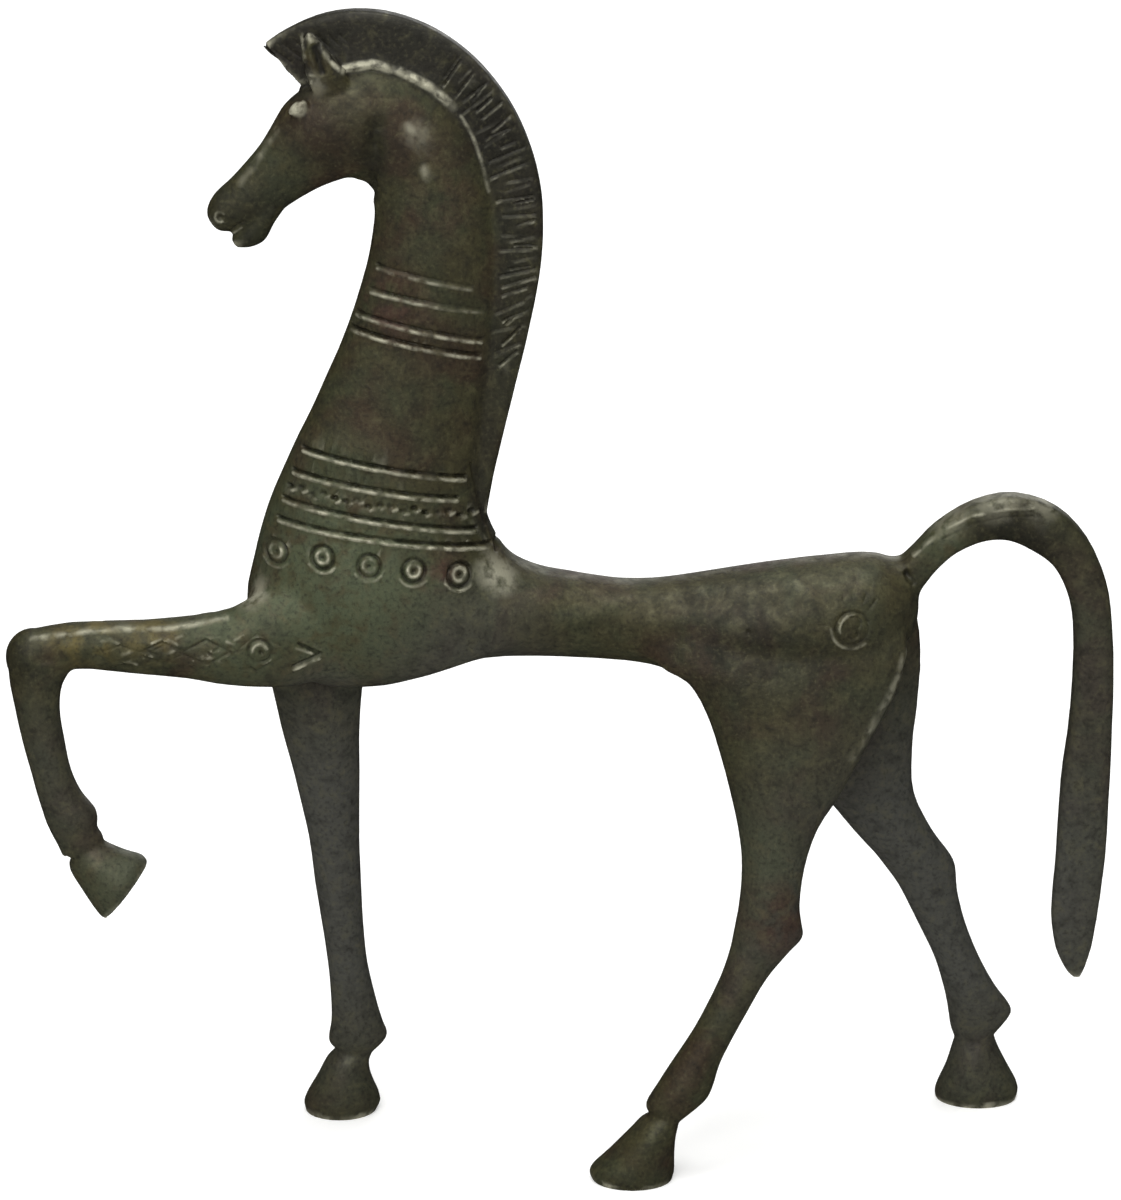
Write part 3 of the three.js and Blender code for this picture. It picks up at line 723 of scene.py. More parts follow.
@dataclass
class Ornament:
    """All that was cut into the cold casting: bands, punched rings and dots, hair, and the face's lines."""

    mane: Mane
    groove: float = 0.85
    depth: float = 0.42
    burr: float = 0.2
    burr_below: float = 0.7
    mane_face: float = 2.5
    mane_line: tuple[Place, ...] = ((-13.2, 112.0), (-12.2, 107.0), (-11.2, 102.4))
    upper_push: Sequence[float] = (0.7, 0.85, 1.0, 1.1)
    upper_fade: Sequence[float] = (0.5, 0.6, 0.3, 0.1)
    lower_push: float = 1.1
    upper_bands: Sequence[tuple[Place, Place]] = (
        ((-26.9, 142.7), (-12.9, 139.7)), ((-27.9, 139.1), (-11.4, 136.1)),
        ((-30.1, 135.5), (-11.6, 131.5)), ((-30.9, 133.2), (-11.8, 129.1)),
    )
    lower_bands: Sequence[tuple[Place, Place]] = (
        ((-38.4, 114.8), (-14.1, 110.5)), ((-39.9, 111.4), (-15.3, 107.5)),
        ((-41.5, 107.2), (-12.6, 102.5)), ((-42.3, 104.2), (-10.4, 99.9)),
    )
    dotted_row: tuple[Place, Place] = ((-40.6, 109.0), (-13.4, 104.8))
    dots: int = 17
    rings: Sequence[tuple[Place, float]] = (
        ((-42.7, 99.1), 0.85), ((-35.5, 99.1), 1.05), ((-28.5, 98.1), 0.9), ((-21.8, 97.3), 0.95),
        ((-15.0, 96.3), 1.1),
    )
    ring: float = 1.7
    disc: float = 0.9
    rump_ring: Place = (44.1, 88.0)
    rump_rays: Sequence[tuple[float, float, float]] = (
        (48, 3.8, 5.4), (66, 4.1, 5.1), (88, 4.3, 4.9), (107, 4.4, 5.0), (172, 4.0, 4.8),
    )
    leg_ring: Place = (-45.0, 85.2)
    nicks: int = 30
    # Each nick's step along and up the forearm, as shares of both, so that no two fall in line.
    nick_steps: tuple[float, float] = (0.618, 0.755)
    strokes: int = 44
    forelock_strokes: int = 7

    def engrave_line(self, line: Sequence[Place], strength: float = 1.0, fade: float = 0.0) -> list[Mark]:
        """Draws a graver's groove with the burr that it raised along its lower side.

        Args:
            line: The places it runs through.
            strength: How hard the graver was pushed, 1 for the main lines.
            fade: The share of that strength that is gone at the line's end.

        Returns:
            The grooves and burrs from place to place.
        """
        made = []
        for i, ends in enumerate(zip(line[:-1], line[1:])):
            push = strength * (1 - fade * i / max(len(line) - 2, 1))
            lower = tuple((x, z - self.burr_below) for x, z in ends)
            # Its burr is later painted pale, a painted highlight for the light on the groove's lower wall.
            made += [Mark(ends, self.groove, self.depth * push), Mark(lower, 0.85, -self.burr * push)]
        return made

    def bands(self) -> list[Mark]:
        """The grooves round the neck, with the uneven row of dots between the lower ones.

        Returns:
            The marks of both groups of bands, in which the upper lines fade towards the mane.
        """
        made = []
        for line, push, fade in zip(self.upper_bands, self.upper_push, self.upper_fade):
            made += self.engrave_line(row(*line, 6), push, fade)
        for line in self.lower_bands:
            made += self.engrave_line(line, self.lower_push)
        made.append(Mark(self.mane_line, 0.9, 0.3))
        for i, (x, z) in enumerate(row(*self.dotted_row, self.dots)):
            level = z + 0.35 * math.sin(2.4 * i)
            deep = 0.42 + 0.18 * math.sin(1.7 * i + 1)
            dot = ((x, level), (x + 0.3, level))
            lip = ((x + 0.5, level - 0.7), (x + 1.1, level - 0.5))
            made += [Mark(dot, 1.1, deep), Mark(lip, 0.8, -0.2 * deep / 0.6)]
        return made

    def punches(self) -> list[Mark]:
        """The ring-and-dot marks of the chest and the rump, some struck harder than others.

        Returns:
            The rings, discs, dots and burrs, and the short rays round the rump's ring.
        """
        made = []
        for centre, strength in self.rings:
            made += [
                Mark(ring_path(centre, self.ring), 0.85, 0.42 * strength),
                Mark(ring_path(centre, self.disc), 0.75, -0.22 * strength),
                Mark((centre, (centre[0] + 0.05, centre[1])), 0.75, 0.4 * strength),
                Mark(ring_path(centre, 2.4, 210, 320), 0.65, -0.2 * (strength - 0.4)),
            ]
        x, z = self.rump_ring
        made += [
            Mark(ring_path((x, z), 2.5, 20, 300), 0.8, 0.26),
            Mark(ring_path((x, z), 2.5, 300, 380), 0.7, 0.12),
            Mark(ring_path((x - 0.1, z), 1.8, 60, 200), 0.6, -0.12),
            Mark(ring_path((x + 0.3, z + 0.8), 0.9, -90, 120), 0.7, 0.16),
            Mark(ring_path((x + 0.1, z - 0.8), 0.8, -140, 90), 0.7, 0.16),
            Mark(ring_path((x, z), 3.2, 180, 310), 0.8, -0.1),
        ]
        for turn, near, far in self.rump_rays:
            c, s = math.cos(math.radians(turn)), math.sin(math.radians(turn))
            made.append(Mark(((x + near * c, z + near * s), (x + far * c, z + far * s)), 0.7, 0.1, -1))
        return made

    def leg(self) -> list[Mark]:
        """The raised foreleg's ring in its lozenge, the chevron, and the faint chain along the forearm.

        Returns:
            The marks, on the near side only, with worn nicks among them.
        """
        x, z = self.leg_ring
        made = [
            Mark(ring_path((x, z), 1.75), 0.8, 0.26, -1),
            Mark(ring_path((x, z), 1.05, 20, 190), 0.8, -0.26, -1),
            Mark(((x + 0.1, z - 0.1), (x + 0.3, z - 0.3)), 0.9, 0.4, -1),
            Mark(((x - 4.2, z - 0.4), (x - 0.6, z - 3.2), (x + 3.2, z - 1.2)), 0.65, 0.16, -1),
            Mark(((x - 4.2, z - 0.4), (x - 0.4, z + 2.6), (x + 3.0, z + 0.8)), 0.6, 0.1, -1),
            Mark(((x + 5.8, z + 0.9), (x + 9.0, z - 0.9)), 0.85, 0.36, -1),
            Mark(((x + 5.4, z + 0.1), (x + 7.6, z - 0.7)), 0.8, -0.16, -1),
            Mark(((x + 4.8, z - 2.7), (x + 9.0, z - 1.0)), 0.8, 0.3, -1),
            Mark(((x + 5.0, z - 3.4), (x + 8.8, z - 1.8)), 0.8, -0.2, -1),
        ]
        for left, half, deep in ((x - 11.8, 1.9, 0.2), (x - 18.4, 1.6, 0.13), (x - 24.6, 1.3, 0.07)):
            right, middle, leaf = left + 7.4, left + 3.8, left + 5.0
            lozenge = ((left, z), (middle, z + half), (right, z), (middle, z - half), (left, z))
            raised = ((leaf - 0.9, z - 0.1), (leaf + 0.5, z + 0.3))
            made += [Mark(lozenge, 0.7, deep, -1), Mark(raised, 0.9, -deep, -1)]
        for i in range(self.nicks):
            along = x - 3 - 21 * (self.nick_steps[0] * i % 1)
            up = z - 2.8 + 5.6 * (self.nick_steps[1] * i % 1)
            nick = ((along, up), (along + 1.3, up + 0.7 * math.sin(2.1 * i)))
            made.append(Mark(nick, 0.75, (0.13, -0.09)[i % 2], -1))
        return made

    def hair(self) -> list[Mark]:
        """The mane's strokes: across it behind the poll, slanting lower down, light on the forelock.

        Returns:
            The strokes with their burrs, and the forelock's front edge.
        """
        made = []
        for i in range(self.strokes):
            share = 0.3 + 0.475 * (i + 0.35 * math.sin(5.1 * i)) / (self.strokes - 1)
            lean = float(np.interp(share, (0.6, 0.69), (0.3, 2.6))) + 0.5 * math.sin(2.7 * i)
            reach = np.interp(share, (0.3, 0.5, 0.78), (4.6, 5.6, 3.8)) * (0.76 + 0.26 * math.sin(2.3 * i))
            push = 0.68 + 0.42 * math.sin(1.9 * i + 0.5)
            inner = self.mane.on(share, 1.2 + reach)
            outer = self.mane.on(share, 1.2 + 0.5 * math.sin(3 * i), -lean)
            lower = tuple((x, z - 0.5) for x, z in (outer, inner))
            made += [
                Mark((outer, inner), 0.55, 0.22 * push, reach=self.mane_face),
                Mark(lower, 0.5, -0.085 * push, reach=self.mane_face),
            ]
        for i in range(self.forelock_strokes):
            share = 0.01 + 0.017 * i
            stroke = (self.mane.on(share, 1.2 + 0.3 * i), self.mane.on(share + 0.012, 4.4))
            made.append(Mark(stroke, 0.6, 0.1, reach=self.mane_face))
        # The forelock's front edge: a cut whose dark wash is painted shade on the mane's front face.
        front = (self.mane.on(0, 0.2, 0.4), self.mane.on(0, 4.0, 0.5), self.mane.on(0, self.mane.tip, 0.8))
        return made + [Mark(front, 1.2, 0.45)]

    def face(self) -> list[Mark]:
        """Mouth, nostril, ear hollow, brow, cheek and the ridge along the crest.

        Returns:
            The marks, on both sides of the head.
        """
        crest = ((-31.2, 171.6), (-27.3, 172.3), (-23.2, 171.2), (-18.9, 169.0), (-15.5, 166.0))
        nape = ((-14.4, 164.6), (-12.8, 162.0), (-11.3, 157.6), (-10.4, 153.5))
        return [
            Mark(((-48.6, 147.5), (-47.4, 148.5), (-46.4, 149.0)), 0.7, 0.3),
            Mark(((-48.2, 147.0), (-46.9, 148.0)), 0.6, -0.12),
            Mark(ring_path((-50.0, 149.7), 0.75, 40, 300), 0.55, -0.1),
            Mark(((-50.0, 149.7), (-49.8, 149.8)), 0.8, 0.2),
            Mark(((-35.4, 175.0), (-34.9, 173.4), (-34.5, 171.6)), 2.0, 0.5),
            # The ear's raised outline and the brow's short ridges, painted pale by their burrs: painted
            # highlights.
            Mark(((-37.5, 176.6), (-37.3, 175.4), (-36.9, 173.0)), 0.9, -0.14),
            Mark(((-36.2, 176.3), (-35.1, 175.6), (-33.4, 173.4), (-32.0, 171.7)), 1.1, -0.2),
            Mark(((-37.6, 169.4), (-36.2, 169.9)), 1.2, -0.2),
            Mark(((-36.2, 171.0), (-35.4, 170.8)), 1.1, -0.14),
            # A faint raised line down the front of the face, painted pale: a painted highlight.
            Mark(((-41.4, 162.6), (-44.6, 157.7), (-47.0, 154.6)), 1.6, -0.06),
            # The cheek's back edge: a wide groove whose dark wash is painted shade.
            Mark(((-26.6, 163.4), (-27.3, 158.5), (-27.9, 153.4)), 4.4, 0.5),
            # The crest's raised ridge, painted pale: a painted highlight.
            Mark(crest, 1.9, -0.38),
            Mark(nape, 0.9, -0.1),
        ]

    def casting_marks(self) -> list[Mark]:
        """The tail's socket, the flank's pit, the thigh's rear ridge and the bosses that the casting left.

        Returns:
            The marks, with the faint ridges along the tail's arch and the forearm, painted pale as
            highlights.
        """
        arch = ((53.6, 97.4), (57.5, 101.3), (62.1, 103.7), (67.0, 104.8), (71.5, 105.0), (74.8, 104.6))
        return [
            Mark(((52.6, 94.9), (53.6, 93.3)), 1.5, 0.6),
            Mark(((28.4, 87.4), (28.5, 87.2)), 0.9, 0.3),
            Mark(((-9.7, 99.8), (-9.4, 98.6)), 1.0, 0.4),
            Mark(((-22.0, 163.2), (-20.6, 162.4)), 3.4, -0.08),
            Mark(((-19.6, 157.2), (-19.2, 156.2)), 2.6, -0.08),
            # The near thigh's rear ridge, painted pale: a painted highlight.
            Mark(((52.5, 83.2), (51.3, 79.6), (49.6, 76.0)), 2.2, -0.075, -1),
            Mark(((49.6, 76.0), (47.0, 71.8), (44.6, 68.0)), 2.4, -0.06, -1),
            # A ridge along the top of the tail's arch painted pale as a highlight, and a faint cut below it
            # as painted shade.
            Mark(arch, 0.9, -0.12, -1),
            Mark(((57.9, 100.2), (62.3, 102.6), (67.0, 103.7), (71.5, 103.8)), 0.8, 0.1, -1),
            # A ridge along the top of the forearm, painted pale: a painted highlight.
            Mark(((-79.0, 87.6), (-70.0, 88.6), (-58.0, 88.6), (-50.0, 89.8)), 1.2, -0.1, -1),
        ]

    def marks(self) -> list[Mark]:
        """All marks in one list."""
        neck_and_legs = [*self.bands(), *self.punches(), *self.leg()]
        return neck_and_legs + [*self.hair(), *self.face(), *self.casting_marks()]


def drawing_points(obj: bpy.types.Object) -> np.ndarray:
    """Reads where a mesh's vertices lie on the drawing.

    Args:
        obj: The mesh object.

    Returns:
        Rows of x, y and z, in mm.
    """
    points = np.zeros(len(obj.data.vertices) * 3, np.float32)
    obj.data.vertices.foreach_get("co", points)
    points = points.reshape(-1, 3).astype(float) / MM
    return points + (DRAWING_ORIGIN[0], DRAWING_ORIGIN[1], 0)


def cut_depths(points: np.ndarray, marks: Iterable[Mark]) -> np.ndarray:
    """Works out the depth of the ornament at each point.

    Args:
        points: Rows of x, y and z in mm on the drawing.
        marks: The cuts and raised lines.

    Returns:
        The depth in mm, below 0 where the metal stands up. The deepest cut wins where marks cross.
    """
    down, up = np.zeros(len(points)), np.zeros(len(points))
    x, z = points[:, 0], points[:, 2]
    for mark in marks:
        path = np.array(mark.path)
        low, high = path.min(0) - mark.width, path.max(0) + mark.width
        near = np.flatnonzero((x > low[0]) & (x < high[0]) & (z > low[1]) & (z < high[1]))
        depth = mark.profile(points[near])
        down[near] = np.maximum(down[near], depth)
        up[near] = np.minimum(up[near], depth)
    depth = np.where(down > FAINTEST_CUT, down, up)
    touched = np.flatnonzero(depth)
    waver = np.array([noise.noise(Vector(p) / HAND_WAVER) for p in points[touched]])
    burr_waver = np.clip(1 + BURR_WAVER * waver, *BURR_RANGE)
    depth[touched] *= np.where(depth[touched] > 0, 1 + CUT_WAVER * waver, burr_waver)
    return depth


def weigh(obj: bpy.types.Object, name: str, weights: np.ndarray) -> None:
    """Stores a weight for each vertex as a vertex group, which modifiers read.

    Args:
        obj: The mesh object.
        name: The group's name.
        weights: A weight for each vertex, which is held between 0 and 1.
    """
    group = obj.vertex_groups.new(name=name)
    levels = np.round(np.clip(weights, 0, 1) * WEIGHT_LEVELS).astype(int)
    for level in np.unique(levels[levels > 0]):
        group.add(np.flatnonzero(levels == level).tolist(), level / WEIGHT_LEVELS, "REPLACE")


def paint(obj: bpy.types.Object, name: str, values: np.ndarray) -> None:
    """Stores a value for each vertex as an attribute, which the finish reads."""
    attribute = obj.data.attributes.new(name, "FLOAT", "POINT")
    attribute.data.foreach_set("value", np.clip(values, 0, 1).astype(np.float32))


def bend_of(obj: bpy.types.Object, rounds: int) -> np.ndarray:
    """Measures how the surface bends at each vertex.

    Args:
        obj: The mesh object.
        rounds: How often the result is averaged with its neighbours.

    Returns:
        About 0 on flat metal, above 0 on an edge and below 0 in a hollow.
    """
    mesh = obj.data
    count = len(mesh.vertices)
    points, normals = np.zeros(count * 3), np.zeros(count * 3)
    mesh.vertices.foreach_get("co", points)
    mesh.vertices.foreach_get("normal", normals)
    points, normals = points.reshape(-1, 3) / MM, normals.reshape(-1, 3)
    edges = np.zeros(len(mesh.edges) * 2, int)
    mesh.edges.foreach_get("vertices", edges)
    a, b = edges.reshape(-1, 2).T
    valence = np.bincount(np.concatenate([a, b]), minlength=count)
    span = points[b] - points[a]
    length2 = np.maximum((span**2).sum(1), 1e-6)
    bend = ((normals[b] - normals[a]) * span).sum(1) / length2
    value = (np.bincount(a, bend, count) + np.bincount(b, bend, count)) / valence
    for _ in range(rounds):
        value = (np.bincount(a, value[b], count) + np.bincount(b, value[a], count) + value) / (valence + 1)
    return value


@dataclass
class Casting:
    """The one bronze: the limbs fused, their roots filled, worked over and engraved."""

    # Sizes in mm, with the skin's coarse and fine grid, and how often each skin is smoothed.
    fillet: float = 1.9
    coarse: float = 0.6
    fine: float = 0.36
    pull: float = 0.5
    core_rounds: int = 3
    skin_rounds: int = 4
    lump: float = 9.0
    unevenness: float = 0.16
    deepest: float = 1.0
    sharp_angle: float = 50.0
    most_triangles: int = 190_000

    def fuse_core(self, limbs: Sequence[bpy.types.Object]) -> bpy.types.Object:
        """Fuses the limbs and fills the creases between them.

        The skin is swollen, made one, and shrunk by the same amount, which leaves a fillet in each crease.

        Args:
            limbs: The overlapping limbs.

        Returns:
            The fused body.
        """
        core = join("core", limbs)
        apply_modifier(core, "DISPLACE", strength=self.fillet * MM, mid_level=0)
        apply_modifier(core, "REMESH", mode="VOXEL", voxel_size=self.coarse * MM)
        apply_modifier(core, "SMOOTH", factor=self.pull, iterations=self.core_rounds)
        apply_modifier(core, "DISPLACE", strength=-self.fillet * MM, mid_level=0)
        return core

    def fuse_all(self, parts: Sequence[bpy.types.Object]) -> bpy.types.Object:
        """Makes the body and its features one even skin.

        Args:
            parts: The fused body, the whole limbs and the features.

        Returns:
            The figure, whose soles are still to be ground.
        """
        horse = join("bronze_horse", parts)
        apply_modifier(horse, "REMESH", mode="VOXEL", voxel_size=self.fine * MM)
        apply_modifier(horse, "SMOOTH", factor=self.pull, iterations=self.skin_rounds)
        return horse

    def work_over(self, horse: bpy.types.Object) -> None:
        """Gives the skin the slight unevenness of wax worked by hand.

        Args:
            horse: The fused figure.
        """
        clouds = bpy.data.textures.new("hand_worked_wax", "CLOUDS")
        clouds.noise_scale = self.lump * MM
        clouds.noise_depth = 1
        strength = self.unevenness * MM
        apply_modifier(
            horse, "DISPLACE", texture=clouds, texture_coords="LOCAL", strength=strength, mid_level=0.5
        )

    def engrave(self, horse: bpy.types.Object, marks: Sequence[Mark]) -> None:
        """Makes the skin finer near the ornament, cuts it, and thins the whole skin if it has too many
        triangles.

        Args:
            horse: The fused figure.
            marks: The cuts and raised lines.
        """
        depth = cut_depths(drawing_points(horse), marks)
        choose(horse)
        bpy.ops.object.mode_set(mode="EDIT")
        bpy.ops.mesh.select_all(action="DESELECT")
        edited = bmesh.from_edit_mesh(horse.data)
        edited.verts.ensure_lookup_table()
        for index in np.flatnonzero(depth).tolist():
            edited.verts[index].select = True
        edited.select_flush(True)
        bmesh.update_edit_mesh(horse.data)
        bpy.ops.mesh.select_more()
        bpy.ops.mesh.subdivide(number_cuts=1)
        bpy.ops.object.mode_set(mode="OBJECT")
        depth = cut_depths(drawing_points(horse), marks)
        weigh(horse, "cuts", depth / self.deepest)
        weigh(horse, "ridges", -depth / self.deepest)
        strength = self.deepest * MM
        apply_modifier(horse, "DISPLACE", vertex_group="cuts", strength=-strength, mid_level=0)
        apply_modifier(horse, "DISPLACE", vertex_group="ridges", strength=strength, mid_level=0)
        triangles = sum(len(face.vertices) - 2 for face in horse.data.polygons)
        LOG.info("engraved skin: %d triangles", triangles)
        if triangles > self.most_triangles:
            apply_modifier(horse, "DECIMATE", ratio=self.most_triangles / triangles)

    def grind_soles(self, horse: bpy.types.Object) -> None:
        """Cuts the three standing hooves flat at the ground and closes their soles.

        Args:
            horse: The engraved figure.
        """
        choose(horse)
        bpy.ops.object.mode_set(mode="EDIT")
        bpy.ops.mesh.select_all(action="SELECT")
        bpy.ops.mesh.bisect(
            plane_co=(0, 0, 0), plane_no=(0, 0, 1), clear_inner=True, use_fill=True, threshold=1e-7
        )
        bpy.ops.object.mode_set(mode="OBJECT")
        bpy.ops.object.shade_smooth_by_angle(angle=math.radians(self.sharp_angle))


def add_node(
    tree: bpy.types.NodeTree,
    kind: str,
    values: dict | None = None,
    links: dict | None = None,
    **settings: object,
) -> bpy.types.Node:
    """Adds one node with its settings, its sockets' values and its links.

    Args:
        tree: The node tree.
        kind: Blender's name for the node's type.
        values: Values by the socket's name or number.
        links: Source sockets by the input socket's name or number.
        **settings: The node's own settings.

    Returns:
        The new node.
    """
    node = tree.nodes.new(kind)
    for key, value in settings.items():
        setattr(node, key, value)
    for key, value in (values or {}).items():
        node.inputs[key].default_value = value
    for key, socket in (links or {}).items():
        tree.links.new(socket, node.inputs[key])
    return node


@dataclass(frozen=True)
class Zone:
    """A round patch of the surface where the patina differs, or where a highlight or shade is painted."""

    attribute: str
    centre: tuple[float, float, float]
    radius: float
    strength: float = 1.0


@dataclass(frozen=True)
class BronzePatina:
    """Cast tin bronze under a chemical patina: matt olive brown, its edges and burrs pale with wear and
    painted highlights.

    The metal was cast rough, filed, and coloured with a dark wash that stays in every cut. To the eye
    that gives a low sheen, never a mirror, small clouds of green and brown, and light lines on the edges,
    partly worn and partly painted highlights; the creases carry painted shade.
    """

    name: str = "cast_bronze_dark_olive_patina"
    olive: str = "#423e26"
    green: str = "#3e3f29"
    brown: str = "#3f3122"
    # Grey patina; on the belly and the far legs it also serves as painted light that lifts their shade.
    grey: str = "#4e4e48"
    moss: str = "#5a6348"
    copper: str = "#4b352a"
    brass: str = "#5f542a"
    mane: str = "#2b2923"
    light: str = "#6c6849"
    # Pale colour for worn edges and burrs; it also paints the highlights on edges, ridges and the eye.
    worn_and_highlight: str = "#bbb8a1"
    # Darkest colour: the wash in the cuts and the random stains, and also painted shade in creases and dark
    # zones.
    shade_and_stain: str = "#1b1912"
    # How wide the patches are, from where the wash ran down to the grain of the moulding sand.
    wash_mm: float = 11.0
    cloud_mm: float = 7.0
    copper_mm: float = 3.1
    brass_mm: float = 2.6
    mottle_mm: float = 2.2
    pale_breakup_mm: float = 1.6
    grain_mm: float = 0.6
    stain: float = 0.45
    bloom: float = 0.22
    metallic: float = 0.4
    roughness: tuple[float, float] = (0.5, 0.66)
    relief_mm: float = 0.24
    relief: float = 0.5

    def build(self) -> bpy.types.Material:
        """Builds the node material.

        Returns:
            The finish, which reads the painted attributes and Object coordinates.
        """
        material = bpy.data.materials.new(self.name)
        material.use_nodes = True
        tree = material.node_tree
        shader = next(n for n in tree.nodes if n.type == "BSDF_PRINCIPLED")
        spot = add_node(tree, "ShaderNodeTexCoord").outputs["Object"]

        def patches(size_mm: float, detail: float, distortion: float = 0.0) -> Socket:
            """Adds noise whose patches are about this size."""
            values = {"Scale": 1 / (size_mm * MM), "Detail": detail, "Distortion": distortion}
            return add_node(tree, "ShaderNodeTexNoise", values, {"Vector": spot}).outputs["Fac"]

        def levels(value: Socket, low: float, high: float, top: float = 1.0) -> Socket:
            """Spreads a value between two levels to the range from 0 to top."""
            values = {"From Min": low, "From Max": high, "To Max": top}
            return add_node(tree, "ShaderNodeMapRange", values, {"Value": value}).outputs["Result"]

        def times(a: Socket, b: Socket) -> Socket:
            """Multiplies two values."""
            return add_node(tree, "ShaderNodeMath", {}, {0: a, 1: b}, operation="MULTIPLY").outputs[0]

        def blend(a: Socket | str, colour: str, share: Socket) -> Socket:
            """Lays a colour over another.

            Args:
                a: What lies below, as a socket or as a hex colour.
                colour: The colour that is laid over it.
                share: How much of it covers, from 0 to 1.

            Returns:
                The blended colour.
            """
            made = add_node(tree, "ShaderNodeMix", {}, {}, data_type="RGBA")
            share_in, (a_in, b_in) = made.inputs[0], [s for s in made.inputs if s.type == "RGBA"]
            b_in.default_value = linear(colour)
            tree.links.new(share, share_in)
            if isinstance(a, str):
                a_in.default_value = linear(a)
            else:
                tree.links.new(a, a_in)
            return next(s for s in made.outputs if s.type == "RGBA")

        def painted(name: str) -> Socket:
            """Reads a painted value."""
            return add_node(tree, "ShaderNodeAttribute", {}, {}, attribute_name=name).outputs["Fac"]

        clouds, mottle = patches(self.cloud_mm, 4, 0.4), patches(self.mottle_mm, 4, 0.4)
        grain = patches(self.grain_mm, 4)
        colour = blend(self.olive, self.green, levels(clouds, 0.4, 0.62))
        colour = blend(colour, self.brown, levels(patches(self.wash_mm, 5, 0.6), 0.5, 0.66, 0.85))
        # Grey patches; on the belly and the far legs this is partly painted light.
        colour = blend(colour, self.grey, painted("grey"))
        colour = blend(colour, self.moss, times(painted("moss"), levels(mottle, 0.3, 0.62)))
        red = levels(patches(self.copper_mm, 4), 0.38, 0.58)
        yellow = levels(patches(self.brass_mm, 4), 0.38, 0.6)
        colour = blend(colour, self.copper, times(painted("copper"), red))
        colour = blend(colour, self.brass, times(painted("brass"), yellow))
        colour = blend(colour, self.mane, painted("mane"))
        # Dark zones: painted shade at the cheek's back edge and under the tail's arch, a darker tone
        # elsewhere.
        colour = blend(colour, self.shade_and_stain, painted("dark"))
        colour = blend(colour, self.shade_and_stain, levels(mottle, 0.5, 0.72, self.stain))
        colour = blend(colour, self.light, levels(mottle, 0.46, 0.3, self.bloom))
        colour = blend(colour, self.shade_and_stain, levels(grain, 0.52, 0.7, self.stain))
        colour = blend(colour, self.light, levels(grain, 0.44, 0.28, self.bloom))
        pale_breakup = levels(patches(self.pale_breakup_mm, 3), 0.3, 0.55)
        # Pale edges and burrs: partly worn metal, partly painted highlights.
        colour = blend(colour, self.worn_and_highlight, times(painted("edge"), pale_breakup))
        # The dark wash kept in the cuts, and painted shade in the creases.
        colour = blend(colour, self.shade_and_stain, painted("hollow"))
        tree.links.new(colour, shader.inputs["Base Color"])
        shader.inputs["Metallic"].default_value = self.metallic
        span = {"From Min": 0.35, "From Max": 0.7, "To Min": self.roughness[0], "To Max": self.roughness[1]}
        rough = add_node(tree, "ShaderNodeMapRange", span, {"Value": mottle})
        tree.links.new(rough.outputs["Result"], shader.inputs["Roughness"])
        values = {"Strength": self.relief, "Distance": self.relief_mm * MM}
        bump = add_node(tree, "ShaderNodeBump", values, {"Height": times(mottle, grain)})
        tree.links.new(bump.outputs["Normal"], shader.inputs["Normal"])
        return material


